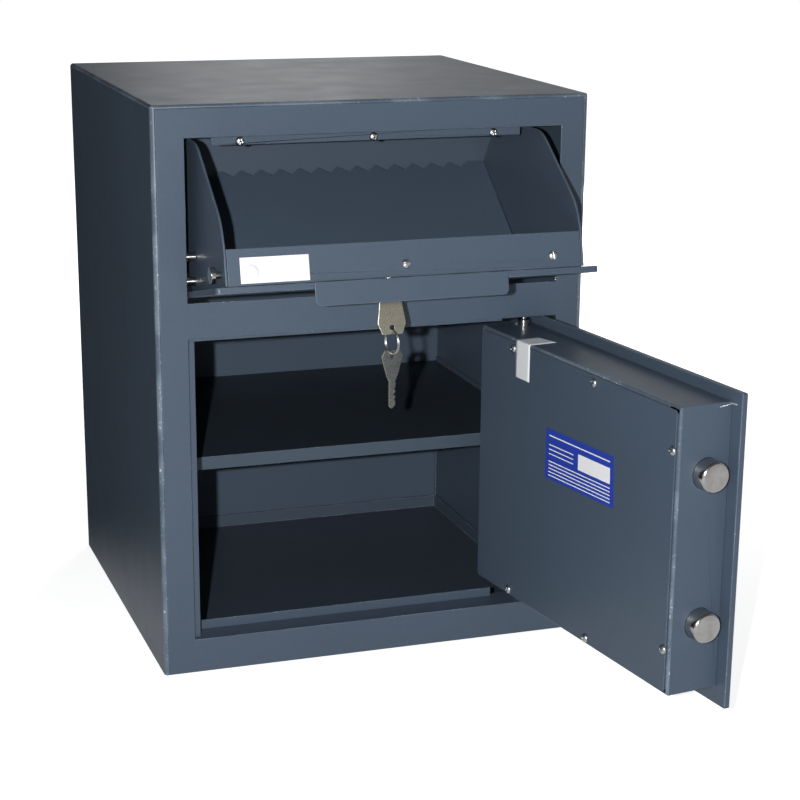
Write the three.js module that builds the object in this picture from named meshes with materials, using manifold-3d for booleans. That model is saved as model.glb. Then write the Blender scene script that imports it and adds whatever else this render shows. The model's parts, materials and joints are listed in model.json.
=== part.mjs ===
import * as THREE from 'three';
import { mergeVertices } from 'three/addons/utils/BufferGeometryUtils.js';
import Module from 'manifold-3d';

const wasm = await Module();
wasm.setup();

// Drop safe with a tilting deposit tray above and a hinged door below.
// Millimetres, X to the right, Y to the back, Z up. The front face lies at y = 0
// inside this file, and the whole safe is moved so that its base is centred.

// Body
const bodyWidth = 390;
const bodyDepth = 370;
const bodyHeight = 500;
const bodySheet = 2.5;
const sideEdgeRadius = 4;
const topEdgeRadius = 3;
const basePlateThickness = 5;
const floorSheet = 2.5;
const floorRimHeight = 12.5;

// Openings in the front sheet
const leftMargin = 28;
const doorHingeMargin = 24.4;
const trayRightMargin = 25;
const sillHeight = 31;
const bridgeHeight = 31;
const topMargin = 27.5;
const trayOpeningHeight = 138.5;
const returnSheet = 2.5;
const returnDepth = 27.5;

// Stop bars and sill behind the door plate
const stopBarWidth = 6.5;
const stopBarHeight = 3.4;
const stopBarDepth = 6;
const stopBarGap = 0.4;
const topStopEndGap = 49.6;
const sillLipSetback = 23;
const sillLipSheet = 2;
const sillLipHeight = 8.5;
const sillLipFootDepth = 5;
const sillLipInset = 11;
const sillLipEndGap = 48.6;

// Shelf and its rails
const shelfSetback = 83;
const shelfTop = 173.4;
const shelfSheet = 2;
const shelfFrontHeight = 12.3;
const shelfSideHeight = 4.6;
const railWidth = 15;
const railHeight = 12;
const railSheet = 2;
const railEndInset = 12;

// Baffle hung from the roof behind the tray
const baffleSetback = 148;
const baffleSheet = 2;
const baffleHeight = 72.5;
const baffleFlangeDepth = 16;
const baffleEndInset = 7.5;
const baffleTongueDrop = 17;
const baffleTongueInset = 35;

// Guard strip above the tray
const stripSetback = 20;
const stripSheet = 2;
const stripHalfLength = 139;
const stripDrop = 9.5;
const stripRise = 2.5;
const stripScrewDrop = 6.7;
const stripScrewShares = [-0.826, 0.024, 0.817];

// Tray brackets, pivots and travel pins
const pivotDepth = 15;
const pivotRise = 16;
const pivotPinRadius = 4;
const pivotHeadRadius = 6.5;
const pivotHeadLength = 2;
const pivotPinReach = 2.5;
const bracketSheet = 2.5;
const bracketInset = 1.5;
const bracketDepth = 43;
const bracketBelow = 12;
const bracketAbove = 36;
const travelPinRadius = 4;
const travelPinIn = 20.3;
const travelPinUp = 9.8;
const travelPinReach = 2;
const travelSlotSteps = 10;

// Tray
const trayOpenAngle = THREE.MathUtils.degToRad(77);
const panelRecess = 0.8;
const panelThickness = 5.5;
const panelHeight = 122.4;
const panelBottomGap = 2.6;
const panelGapLeft = 1.5;
const panelGapRight = 2.5;
const panelCornerRadius = 4;
const traySheet = 2;
const trayInsetLeft = 10;
const trayInsetRight = 16;
const lipHeight = 30.1;
const cheekShoulder = 53.7;
const cheekShoulderDrop = 6.3;
const cheekBack = 121.4;
const cheekBackDrop = 70.6;
const cheekTail = 144.6;
const cheekTailDrop = 171;
const cheekCornerRadius = 3;
const cheekBendRadius = 12;
const slideSheet = 1.5;
const slideReach = 107.9;
const slideFall = 91;
const slideStartRise = 0.4;
const notchCount = 15;
const notchRunShare = 0.8939;
const notchDepth = 8;
const flapHalfLength = 84;
const flapReach = 14.2;
const flapSheet = 2;
const flapCornerRadius = 5;

// Lock of the tray
const lockX = -10.4;
const lockDrop = 30;
const barrelRadius = 10;
const barrelFlangeRadius = 13;
const barrelFlangeLength = 2;
const barrelDepth = 13.2;
const plugRadius = 5.5;
const plugProud = 1;
const keywayWidth = 8.8;
const keywayHeight = 2.6;
const keywayDepth = 9;
const camRadius = 8.5;
const camSheet = 1.2;
const crankPinRadius = 1.5;
const crankThrow = 8;
const crankPinLength = 3.1;
const lockCoverSheet = 1.5;
const lockCoverDepth = 44.7;
const lockCoverHeight = 21.9;
const lockCoverEndGap = 3.5;
const lockCoverHem = 14;
const sideBoltRadius = 3;
const sideBoltDrop = 14.4;
const sideBoltRise = 10.5;
const sideBoltHeadRadius = 7;
const sideBoltHeadLength = 4;
const sideBoltEdgeGap = 0.8;
const sideBoltArmSheet = 2;
const sideBoltArmWidth = 8;
const sideBoltArmReach = 18;
const lipScrewShares = [-0.875, -0.02, 0.83];

// Key
const keySheet = 2;
const keyBladeWidth = 8.2;
const keyNeckWidth = 10;
const keyNeckLength = 11.6;
const keyBowWidth = 24.5;
const keyBowLength = 28;
const keyBowCut = 6;
const keyHoleRadius = 2.8;
const keyHoleInset = 7;
const keyBladeLength = 8.4;

// Door
const doorOpenAngle = THREE.MathUtils.degToRad(97.7);
const doorRecess = 0.5;
const doorPlateThickness = 5.3;
const doorGapLeft = 1.2;
const doorGapHinge = 4.1;
const doorGapBottom = 4;
const doorGapTop = 3;
const doorPlateCornerRadius = 1.5;
const hingeInset = 23.1;
const hingeDepth = 20;
const hingePinRadius = 3.5;
const hingePinEntry = 5;
const boxInsetLeft = 14.2;
const boxInsetHinge = 7.6;
const boxInsetBottom = 19.5;
const boxInsetTop = 12;
const boxSheet = 2;
const boxDepth = 48;
const boxBendRadius = 2.5;
const boxFlangeWidth = 14;
const boxReliefWidth = 3.4;
const coverSheet = 1.2;
const coverInset = 2.8;
const coverCornerRadius = 3;
const coverScrewSideInset = 5.7;
const coverScrewTopInset = 8.6;
const coverScrewBottomInset = 6.7;
const coverScrewTopShares = [0.81, 0.389];
const coverScrewSideShares = [0.852, 0.162];
const coverScrewBottomShares = [0.386, 0.806];

// Bolt work of the door
const boltRadius = 13;
const boltDepth = 26.5;
const boltProud = 13.4;
const boltTravel = 13;
const boltLength = 54;
const boltChamfer = 2;
const boltSpacingShare = 0.5231;
const boltCentreShare = 0.5035;
const boltBarThickness = 6;
const boltBarWidth = 18;
const boltBarOverlap = 20;
const tongueSheet = 3;
const tongueBelow = 6;
const tongueAbove = 24;
const tongueEnd = 10;
const crankRadius = 18;
const crankSheet = 5.7;
const crankPinDoorRadius = 4;
const crankPinDoorLength = 9;
const guideSheet = 2.5;
const guideInset = 21;
const guideDepth = 38;
const guideFoot = 14;
const guideOverlap = 21;

// Turning handle and keyhole of the door
const handleInset = 95;
const handleHubRadius = 19;
const handleHubLength = 12;
const handleNeckRadius = 11;
const handleNeckLength = 10;
const handleArmThickness = 12;
const handleArmWidth = 20;
const handleArmTipWidth = 14;
const handleArmLength = 88;
const handleArmHeel = 12;
const spindleRadius = 7;
const keyholeOffset = 66;
const keyholePlateRadius = 17;
const keyholePlateSheet = 2;
const keyholeWidth = 4.4;
const keyholeHeight = 15;
const keyholeRivetRise = 12.5;
const keyholeRivetRadius = 1.8;
const keyholeRivetHeadRadius = 3.5;
const keyholeRivetHeadLength = 1.3;
const keyholeCoverRadius = 10;
const keyholeCoverEarRadius = 4.5;
const keyholeCoverSheet = 1.2;
const lockCaseWidth = 60;
const lockCaseHeight = 64;
const lockCaseDepth = 18;
const lockCaseCornerRadius = 3;

// Screws
const screwHeadRadius = 4;
const screwHeadHeight = 2.4;
const screwShankRadius = 1.6;
const screwShankLength = 5;
const screwHoleClearance = 0.3;

// Fits and cutting
const seatGap = 0.3;
const runningGap = 0.3;
const slotGap = 0.35;
const overrun = 5;
const roundSides = 32;
const smallSides = 16;
const bendSteps = 5;

// Places that follow from the sizes
const insideHalfWidth = bodyWidth / 2 - bodySheet;
const insideBack = bodyDepth - bodySheet;
const insideTop = bodyHeight - bodySheet;
const openingLeft = leftMargin - bodyWidth / 2;
const doorOpeningRight = bodyWidth / 2 - doorHingeMargin;
const trayOpeningRight = bodyWidth / 2 - trayRightMargin;
const trayOpeningTop = bodyHeight - topMargin;
const trayOpeningBottom = trayOpeningTop - trayOpeningHeight;
const doorOpeningTop = trayOpeningBottom - bridgeHeight;
const doorInside = doorRecess + doorPlateThickness;

// Materials
function metal(color, roughness, metalness) {
  return new THREE.MeshStandardMaterial({ color, roughness, metalness, flatShading: true });
}
const bodyPaint = metal('#5b6774', 0.42, 0.1);
const insidePaint = metal('#525d69', 0.5, 0.1);
const polishedSteel = metal('#d9dbdd', 0.2, 1);
const zincSteel = metal('#b4b7ba', 0.35, 1);
const darkSteel = metal('#6a6d70', 0.45, 1);
const nickel = metal('#c9c8c2', 0.25, 1);

// Solids from geometry
function toSolid(geometry) {
  geometry.deleteAttribute('normal');
  geometry.deleteAttribute('uv');
  const merged = mergeVertices(geometry);
  const vertProperties = Float32Array.from(merged.getAttribute('position').array);
  const triVerts = Uint32Array.from(merged.getIndex().array);
  return new wasm.Manifold(new wasm.Mesh({ numProp: 3, vertProperties, triVerts }));
}

function toGeometry(solid) {
  const cut = solid.getMesh();
  const geometry = new THREE.BufferGeometry();
  geometry.setAttribute('position', new THREE.BufferAttribute(Float32Array.from(cut.vertProperties), 3));
  geometry.setIndex(new THREE.BufferAttribute(Uint32Array.from(cut.triVerts), 1));
  geometry.computeVertexNormals();
  return geometry;
}

function toMesh(name, solid, material) {
  const mesh = new THREE.Mesh(toGeometry(solid), material);
  mesh.name = name;
  return mesh;
}

function joined(solids) {
  return solids.reduce((whole, solid) => whole.add(solid));
}

function without(solid, cuts) {
  return cuts.reduce((rest, cut) => rest.subtract(cut), solid);
}

const axisX = new THREE.Vector3(1, 0, 0);
const axisY = new THREE.Vector3(0, 1, 0);
const axisZ = new THREE.Vector3(0, 0, 1);
const planes = {
  xy: new THREE.Matrix4(),
  xz: new THREE.Matrix4().makeBasis(axisX, axisZ, axisY.clone().negate()),
  yz: new THREE.Matrix4().makeBasis(axisY, axisZ, axisX),
};

// An outline swept square to its plane, between two levels
function swept(plane, shape, low, high) {
  const options = { depth: high - low, bevelEnabled: false, curveSegments: bendSteps };
  const geometry = new THREE.ExtrudeGeometry(shape, options);
  geometry.translate(0, 0, plane === 'xz' ? -high : low);
  geometry.applyMatrix4(planes[plane]);
  return toSolid(geometry);
}

function block(x, y, z) {
  const geometry = new THREE.BoxGeometry(x[1] - x[0], y[1] - y[0], z[1] - z[0]);
  geometry.translate((x[0] + x[1]) / 2, (y[0] + y[1]) / 2, (z[0] + z[1]) / 2);
  return toSolid(geometry);
}

// A turned piece: its profile is [radius, place] pairs along the given axis
function turned(axis, profile, place, sides) {
  const points = profile.map(([radius, along]) => new THREE.Vector2(radius, along));
  const geometry = new THREE.LatheGeometry(points, sides);
  if (axis === 'x') {
    geometry.rotateZ(-Math.PI / 2);
  }
  if (axis === 'z') {
    geometry.rotateX(Math.PI / 2);
  }
  geometry.translate(place[0], place[1], place[2]);
  return toSolid(geometry);
}

function rod(axis, radius, low, high, place, sides) {
  return turned(axis, [[0, low], [radius, low], [radius, high], [0, high]], place, sides);
}

function polygon(points) {
  return new THREE.Shape(points.map(([u, v]) => new THREE.Vector2(u, v)));
}

// An outline whose corners are rounded, each with its own radius
function softPolygon(corners) {
  const shape = new THREE.Shape();
  const count = corners.length;
  corners.forEach(([u, v, radius], index) => {
    const here = new THREE.Vector2(u, v);
    const before = new THREE.Vector2(...corners[(index + count - 1) % count].slice(0, 2));
    const after = new THREE.Vector2(...corners[(index + 1) % count].slice(0, 2));
    const start = here.clone().add(before.sub(here).setLength(radius));
    const end = here.clone().add(after.sub(here).setLength(radius));
    if (index === 0) {
      shape.moveTo(start.x, start.y);
    } else {
      shape.lineTo(start.x, start.y);
    }
    if (radius > 0) {
      shape.quadraticCurveTo(here.x, here.y, end.x, end.y);
    }
  });
  shape.closePath();
  return shape;
}

// A rectangle with arcs at its corners: radii run anticlockwise from the lower left
function rounded(u, v, radii) {
  const shape = new THREE.Shape();
  const [lowerLeft, lowerRight, upperRight, upperLeft] = radii;
  shape.moveTo(u[0] + lowerLeft, v[0]);
  shape.lineTo(u[1] - lowerRight, v[0]);
  if (lowerRight > 0) {
    shape.absarc(u[1] - lowerRight, v[0] + lowerRight, lowerRight, -Math.PI / 2, 0, false);
  }
  shape.lineTo(u[1], v[1] - upperRight);
  if (upperRight > 0) {
    shape.absarc(u[1] - upperRight, v[1] - upperRight, upperRight, 0, Math.PI / 2, false);
  }
  shape.lineTo(u[0] + upperLeft, v[1]);
  if (upperLeft > 0) {
    shape.absarc(u[0] + upperLeft, v[1] - upperLeft, upperLeft, Math.PI / 2, Math.PI, false);
  }
  shape.lineTo(u[0], v[0] + lowerLeft);
  if (lowerLeft > 0) {
    shape.absarc(u[0] + lowerLeft, v[0] + lowerLeft, lowerLeft, Math.PI, Math.PI * 1.5, false);
  }
  return shape;
}

function evenly(radius) {
  return [radius, radius, radius, radius];
}

// A hole whose flats clear a round piece of the given radius
function roundHole(u, v, radius) {
  const points = [];
  const cornerRadius = radius / Math.cos(Math.PI / roundSides);
  for (let side = 0; side < roundSides; side += 1) {
    const angle = Math.PI * 2 * side / roundSides;
    points.push(new THREE.Vector2(u + Math.cos(angle) * cornerRadius, v + Math.sin(angle) * cornerRadius));
  }
  return new THREE.Path(points);
}

// A screw with a domed head, its shank along -Y from the face it sits on
function screwSolid() {
  const shankTip = screwShankLength;
  const shoulder = screwHeadHeight / 2;
  const profile = [
    [0, -screwHeadHeight],
    [screwHeadRadius / 2, -screwHeadHeight],
    [screwHeadRadius, -shoulder],
    [screwHeadRadius, 0],
    [screwShankRadius, 0],
    [screwShankRadius, shankTip],
    [0, shankTip],
  ];
  return turned('y', profile, [0, 0, 0], smallSides);
}

// Body pieces

// One folded sheet makes both sides, the roof and the rounded front corners
function shellWrap() {
  const halfWidth = bodyWidth / 2;
  const plan = rounded([-halfWidth, halfWidth], [0, bodyDepth], [sideEdgeRadius, sideEdgeRadius, 0, 0]);
  const front = rounded([-halfWidth, halfWidth], [0, bodyHeight], [0, 0, topEdgeRadius, topEdgeRadius]);
  const side = rounded([0, bodyDepth], [0, bodyHeight], [0, 0, 0, topEdgeRadius]);
  const outside = swept('xy', plan, 0, bodyHeight)
    .intersect(swept('xz', front, 0, bodyDepth))
    .intersect(swept('yz', side, -halfWidth, halfWidth));
  const windowHalfWidth = halfWidth - sideEdgeRadius;
  return without(outside, [
    block([-insideHalfWidth, insideHalfWidth], [bodySheet, bodyDepth + overrun], [-overrun, insideTop]),
    block([-windowHalfWidth, windowHalfWidth], [-overrun, bodySheet + overrun], [-overrun, bodyHeight - topEdgeRadius]),
  ]);
}

// The front sheet with its two openings and the folded edges of the lower one
function frontFrame() {
  const halfWidth = bodyWidth / 2 - sideEdgeRadius;
  const sheet = block([-halfWidth, halfWidth], [0, bodySheet], [0, bodyHeight - topEdgeRadius]);
  const through = [-overrun, bodySheet + overrun];
  const flat = without(sheet, [
    block([openingLeft, trayOpeningRight], through, [trayOpeningBottom, trayOpeningTop]),
    block([openingLeft, doorOpeningRight], through, [sillHeight, doorOpeningTop]),
  ]);
  const foldLeft = openingLeft - returnSheet;
  const folded = [bodySheet / 2, bodySheet + returnDepth];
  return joined([
    flat,
    block([foldLeft, openingLeft], folded, [sillHeight - returnSheet, doorOpeningTop + returnSheet]),
    block([foldLeft, doorOpeningRight], folded, [doorOpeningTop, doorOpeningTop + returnSheet]),
    block([foldLeft, doorOpeningRight], folded, [sillHeight - returnSheet, sillHeight]),
  ]);
}

function backPanel() {
  const wide = [-insideHalfWidth, insideHalfWidth];
  return block(wide, [insideBack, bodyDepth], [basePlateThickness, insideTop]);
}

function basePlate() {
  return block([-insideHalfWidth, insideHalfWidth], [bodySheet, bodyDepth], [0, basePlateThickness]);
}

// The floor is a shallow pan whose rim stands against the sides and the back
function floorPan() {
  const low = basePlateThickness;
  const pan = block([-insideHalfWidth, insideHalfWidth], [bodySheet, insideBack], [low, low + floorSheet + floorRimHeight]);
  const hollowHalfWidth = insideHalfWidth - floorSheet;
  const hollow = block(
    [-hollowHalfWidth, hollowHalfWidth],
    [0, insideBack - floorSheet],
    [low + floorSheet, low + floorSheet + floorRimHeight + overrun],
  );
  return pan.subtract(hollow);
}

function sillLip() {
  const x = [openingLeft + sillLipInset, doorOpeningRight - sillLipEndGap];
  const back = sillLipSetback + sillLipSheet;
  return joined([
    block(x, [sillLipSetback, back], [sillHeight, sillHeight + sillLipHeight]),
    block(x, [sillLipSetback, back + sillLipFootDepth], [sillHeight, sillHeight + sillLipSheet]),
  ]);
}

const stopFront = doorInside + stopBarGap;

function sideStop() {
  const x = [openingLeft, openingLeft + stopBarWidth];
  return block(x, [stopFront, stopFront + stopBarDepth], [sillHeight, doorOpeningTop - stopBarHeight]);
}

function topStop() {
  const x = [openingLeft, doorOpeningRight - topStopEndGap];
  return block(x, [stopFront, stopFront + stopBarDepth], [doorOpeningTop - stopBarHeight, doorOpeningTop]);
}

const hingeX = doorOpeningRight - hingeInset;
const boxBottom = sillHeight + boxInsetBottom;
const boxTop = doorOpeningTop - boxInsetTop;

function hingePin(low, high) {
  return rod('z', hingePinRadius, low, high, [hingeX, hingeDepth, 0], roundSides);
}

// The shelf has a deep front edge and low side edges
function shelf() {
  const wide = [-insideHalfWidth, insideHalfWidth];
  const back = insideBack;
  const sheetLow = shelfTop - shelfSheet;
  const raised = [sheetLow, shelfTop + shelfSideHeight];
  const sideFront = shelfSetback + railEndInset;
  return joined([
    block(wide, [shelfSetback, back], [sheetLow, shelfTop]),
    block(wide, [shelfSetback, shelfSetback + shelfSheet], [shelfTop - shelfFrontHeight, shelfTop]),
    block([-insideHalfWidth, shelfSheet - insideHalfWidth], [sideFront, back], raised),
    block([insideHalfWidth - shelfSheet, insideHalfWidth], [sideFront, back], raised),
  ]);
}

function shelfRail(side) {
  const high = shelfTop - shelfSheet;
  const y = [shelfSetback + railEndInset, insideBack - railEndInset];
  const outer = side * insideHalfWidth;
  const foot = side * (insideHalfWidth - railWidth);
  const leg = side * (insideHalfWidth - railSheet);
  return joined([
    block([Math.min(outer, foot), Math.max(outer, foot)], y, [high - railSheet, high]),
    block([Math.min(outer, leg), Math.max(outer, leg)], y, [high - railHeight, high]),
  ]);
}

function baffle() {
  const half = insideHalfWidth - baffleEndInset;
  const flangeBack = baffleSetback + baffleFlangeDepth;
  const low = insideTop - baffleHeight;
  const tongue = half - baffleTongueInset;
  return joined([
    block([-half, half], [baffleSetback, baffleSetback + baffleSheet], [low, insideTop]),
    block([-tongue, tongue], [baffleSetback, baffleSetback + baffleSheet], [low - baffleTongueDrop, insideTop]),
    block([-half, half], [baffleSetback, flangeBack], [insideTop - baffleSheet, insideTop]),
  ]);
}

// An angle behind the front sheet, its edge turned down over the tray's lip
const stripLow = trayOpeningTop - stripDrop;
const stripHigh = trayOpeningTop + stripRise;
const stripScrewZ = trayOpeningTop - stripScrewDrop;

function guardStrip() {
  const x = [-stripHalfLength, stripHalfLength];
  const back = stripSetback + stripSheet;
  const angle = joined([
    block(x, [bodySheet, back], [stripHigh - stripSheet, stripHigh]),
    block(x, [stripSetback, back], [stripLow, stripHigh]),
  ]);
  const holeRadius = screwShankRadius + screwHoleClearance;
  const holes = stripScrewShares.map((share) => {
    const place = [share * stripHalfLength, 0, stripScrewZ];
    return rod('y', holeRadius, bodySheet + overrun, back + overrun, place, smallSides);
  });
  return without(angle, holes);
}

// Tray pieces, written about the pivot with the tray closed: x, depth, height

const pivotZ = trayOpeningBottom + pivotRise;
const panelFront = panelRecess - pivotDepth;
const panelBack = panelFront + panelThickness;
const panelLow = panelBottomGap - pivotRise;
const panelHigh = panelLow + panelHeight;
const trayLeft = openingLeft + trayInsetLeft;
const trayRight = trayOpeningRight - trayInsetRight;
const insideTrayLeft = trayLeft + traySheet + seatGap;
const insideTrayRight = trayRight - traySheet - seatGap;
const trayFace = panelBack + seatGap;
const lockZ = panelHigh - lockDrop;
const sideBoltZ = panelHigh - sideBoltDrop;
const sideBoltY = panelBack + sideBoltRise;
const lipX = (share) => (insideTrayLeft + insideTrayRight) / 2 + share * (insideTrayRight - insideTrayLeft) / 2;

function bracket(side) {
  const inner = side < 0 ? openingLeft - bracketInset : trayOpeningRight + bracketInset;
  const x = side < 0 ? [inner - bracketSheet, inner] : [inner, inner + bracketSheet];
  const y = [bodySheet, bodySheet + bracketDepth];
  const plate = block(x, y, [pivotZ - bracketBelow, pivotZ + bracketAbove]);
  const pivotHole = rod('x', pivotPinRadius + runningGap, x[0] - overrun, x[1] + overrun, [0, pivotDepth, pivotZ], roundSides);
  return without(plate, [pivotHole, travelSlot(x)]);
}

// The arc that the travel pin runs through as the tray tilts
function travelSlot(x) {
  const reach = Math.hypot(travelPinIn, travelPinUp);
  const closed = Math.atan2(travelPinUp, travelPinIn);
  const slack = (runningGap + travelPinRadius) / reach;
  const first = closed - slack;
  const last = closed + trayOpenAngle + slack;
  const halfWidth = travelPinRadius + runningGap;
  const points = [];
  for (let step = 0; step <= travelSlotSteps; step += 1) {
    const angle = first + (last - first) * step / travelSlotSteps;
    points.push([Math.cos(angle) * (reach + halfWidth), Math.sin(angle) * (reach + halfWidth)]);
  }
  for (let step = travelSlotSteps; step >= 0; step -= 1) {
    const angle = first + (last - first) * step / travelSlotSteps;
    points.push([Math.cos(angle) * (reach - halfWidth), Math.sin(angle) * (reach - halfWidth)]);
  }
  const outline = points.map(([y, z]) => [y + pivotDepth, z + pivotZ]);
  return swept('yz', polygon(outline), x[0] - overrun, x[1] + overrun);
}

// A headed pin through the bracket and the tray's cheek
function pivotPin(side) {
  const bracketInner = side < 0 ? openingLeft - bracketInset : trayOpeningRight + bracketInset;
  const headFace = bracketInner + side * (bracketSheet + runningGap);
  const cheek = side < 0 ? trayLeft : trayRight;
  const tip = cheek - side * (traySheet + pivotPinReach);
  const headEnd = headFace + side * pivotHeadLength;
  const place = [0, pivotDepth, pivotZ];
  return joined([
    rod('x', pivotPinRadius, Math.min(tip, headEnd), Math.max(tip, headEnd), place, roundSides),
    rod('x', pivotHeadRadius, Math.min(headFace, headEnd), Math.max(headFace, headEnd), place, roundSides),
  ]);
}

function travelPin(side) {
  const cheek = side < 0 ? trayLeft : trayRight;
  const bracketInner = side < 0 ? openingLeft - bracketInset : trayOpeningRight + bracketInset;
  const tip = bracketInner + side * (bracketSheet + travelPinReach);
  const root = cheek + side * seatGap;
  return rod('x', travelPinRadius, Math.min(tip, root), Math.max(tip, root), [0, travelPinIn, travelPinUp], roundSides);
}

function trayPanel() {
  const x = [openingLeft + panelGapLeft, trayOpeningRight - panelGapRight];
  const outline = rounded(x, [panelLow, panelHigh], evenly(panelCornerRadius));
  const plate = swept('xz', outline, panelFront, panelBack);
  const hole = rod('y', barrelRadius + seatGap, panelFront - overrun, panelBack + overrun, [lockX, 0, lockZ], roundSides);
  return plate.subtract(hole);
}

function handleFlap() {
  const y = [panelFront - flapReach, panelBack];
  const corners = [flapCornerRadius, flapCornerRadius, 0, 0];
  const outline = rounded([-flapHalfLength, flapHalfLength], y, corners);
  const low = panelHigh + seatGap;
  return swept('xy', outline, low, low + flapSheet);
}

// Slide: the sloping plate that drops the deposit, square to its own slope
const slideLength = Math.hypot(slideReach, slideFall);
const slideAlong = new THREE.Vector3(0, slideReach / slideLength, -slideFall / slideLength);
const slideNormal = axisX.clone().cross(slideAlong);
const slideStart = new THREE.Vector3(0, trayFace, panelLow + slideStartRise);

function cheek(x0, boltHole) {
  const foot = slideStart.clone().addScaledVector(slideNormal, -slideSheet);
  const tail = slideStart.clone().addScaledVector(slideAlong, slideLength);
  const outline = softPolygon([
    [trayFace, foot.z + slideSheet, 0],
    [tail.y, tail.z - slideSheet, cheekCornerRadius],
    [panelBack + cheekTail, panelHigh - cheekTailDrop, cheekCornerRadius],
    [panelBack + cheekBack, panelHigh - cheekBackDrop, cheekBendRadius],
    [panelBack + cheekShoulder, panelHigh - cheekShoulderDrop, cheekBendRadius],
    [panelBack + lipHeight, panelHigh, 0],
    [trayFace, panelHigh, 0],
  ]);
  outline.holes.push(roundHole(0, 0, pivotPinRadius + runningGap));
  if (boltHole) {
    outline.holes.push(roundHole(sideBoltY, sideBoltZ, sideBoltRadius + runningGap));
  }
  return swept('yz', outline, x0, x0 + traySheet);
}

function notchedSlide() {
  const start = slideSheet * slideFall / slideReach;
  const middle = (insideTrayLeft + insideTrayRight) / 2;
  const notchPitch = (insideTrayRight - insideTrayLeft) * notchRunShare / notchCount;
  const firstPeak = middle - notchCount * notchPitch / 2;
  const points = [[insideTrayLeft, start], [insideTrayRight, start], [insideTrayRight, slideLength]];
  for (let index = notchCount; index >= 0; index -= 1) {
    const peak = firstPeak + index * notchPitch;
    points.push([peak, slideLength]);
    if (index > 0) {
      points.push([peak - notchPitch / 2, slideLength - notchDepth]);
    }
  }
  points.push([insideTrayLeft, slideLength]);
  const options = { depth: slideSheet, bevelEnabled: false };
  const geometry = new THREE.ExtrudeGeometry(polygon(points), options);
  geometry.translate(0, 0, -slideSheet);
  geometry.applyMatrix4(new THREE.Matrix4().makeBasis(axisX, slideAlong, slideNormal));
  geometry.translate(slideStart.x, slideStart.y, slideStart.z);
  return toSolid(geometry);
}

function trayLip() {
  const outline = rounded([insideTrayLeft, insideTrayRight], [trayFace, panelBack + lipHeight], evenly(0));
  for (const share of lipScrewShares) {
    outline.holes.push(roundHole(lipX(share), sideBoltY, screwShankRadius + screwHoleClearance));
  }
  return swept('xy', outline, panelHigh - traySheet, panelHigh);
}

// The cover behind the lip hides the lock and the side bolt
function lockCover() {
  const front = panelHigh - traySheet - seatGap;
  const rear = front - lockCoverDepth;
  const high = panelBack + lockCoverHeight;
  const hem = high - lockCoverHem;
  const profile = polygon([
    [trayFace, rear],
    [high, rear],
    [high, front],
    [hem, front],
    [hem, front - lockCoverSheet],
    [high - lockCoverSheet, front - lockCoverSheet],
    [high - lockCoverSheet, rear + lockCoverSheet],
    [trayFace, rear + lockCoverSheet],
  ]);
  const x = [insideTrayLeft + lockCoverEndGap, insideTrayRight - lockCoverEndGap];
  const holes = lipScrewShares.map((share) => {
    const place = [lipX(share), sideBoltY, 0];
    return rod('z', screwShankRadius + screwHoleClearance, front - lockCoverSheet - screwShankRadius, front + overrun, place, smallSides);
  });
  return without(swept('yz', profile, x[0], x[1]), holes);
}

function lockBarrel() {
  const flangeBack = panelFront - seatGap;
  const flangeFront = flangeBack - barrelFlangeLength;
  const bore = plugRadius + runningGap;
  const profile = [
    [bore, flangeFront],
    [barrelFlangeRadius, flangeFront],
    [barrelFlangeRadius, flangeBack],
    [barrelRadius, flangeBack],
    [barrelRadius, panelFront + barrelDepth],
    [bore, panelFront + barrelDepth],
    [bore, flangeFront],
  ];
  return turned('y', profile, [lockX, 0, lockZ], roundSides);
}

const plugFront = panelFront - seatGap - barrelFlangeLength - plugProud;
const camFront = panelFront + barrelDepth + seatGap;

function lockPlug() {
  const plug = rod('y', plugRadius, plugFront, panelFront + barrelDepth, [lockX, 0, lockZ], roundSides);
  const keyway = block(
    [lockX - keywayWidth / 2, lockX + keywayWidth / 2],
    [plugFront - overrun, plugFront + keywayDepth],
    [lockZ - keywayHeight / 2, lockZ + keywayHeight / 2],
  );
  return plug.subtract(keyway);
}

// A pin on the cam pushes the side bolt out when the key turns a quarter turn
const crankPinReach = crankThrow / 2 * Math.SQRT2;
const crankOffset = crankThrow / 2;

function lockCam() {
  const disc = rod('y', camRadius, camFront, camFront + camSheet, [lockX, 0, lockZ], roundSides);
  const place = [lockX + crankOffset, 0, lockZ + crankOffset];
  const pin = rod('y', crankPinRadius, camFront, camFront + camSheet + crankPinLength, place, smallSides);
  return joined([disc, pin]);
}

// A headed bolt whose flat inner arm holds a slot for the crank pin
function sideBolt() {
  const edge = openingLeft + sideBoltEdgeGap;
  const armRoot = lockX - sideBoltArmReach;
  const pinX = lockX + crankOffset;
  const slotHalf = crankPinRadius + slotGap;
  const armTip = pinX + slotHalf + crankPinRadius;
  const armY = [camFront + camSheet + seatGap, camFront + camSheet + seatGap + sideBoltArmSheet];
  const place = [0, sideBoltY, sideBoltZ];
  const shank = rod('x', sideBoltRadius, edge, armRoot, place, smallSides);
  const head = rod('x', sideBoltHeadRadius, edge, edge + sideBoltHeadLength, place, roundSides);
  const slotZ = [lockZ + crankOffset - slotHalf, lockZ + crankPinReach + slotHalf];
  const plateZ = [slotZ[0] - crankPinRadius, slotZ[1] + crankPinRadius];
  const plate = block([armRoot, armTip], armY, plateZ);
  const riser = block([armRoot, armRoot + sideBoltArmWidth], armY, [plateZ[0], sideBoltZ + sideBoltRadius / 2]);
  const slot = block([pinX - slotHalf, pinX + slotHalf], [armY[0] - overrun, armY[1] + overrun], slotZ);
  return joined([shank, head, riser, plate]).subtract(slot);
}

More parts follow.
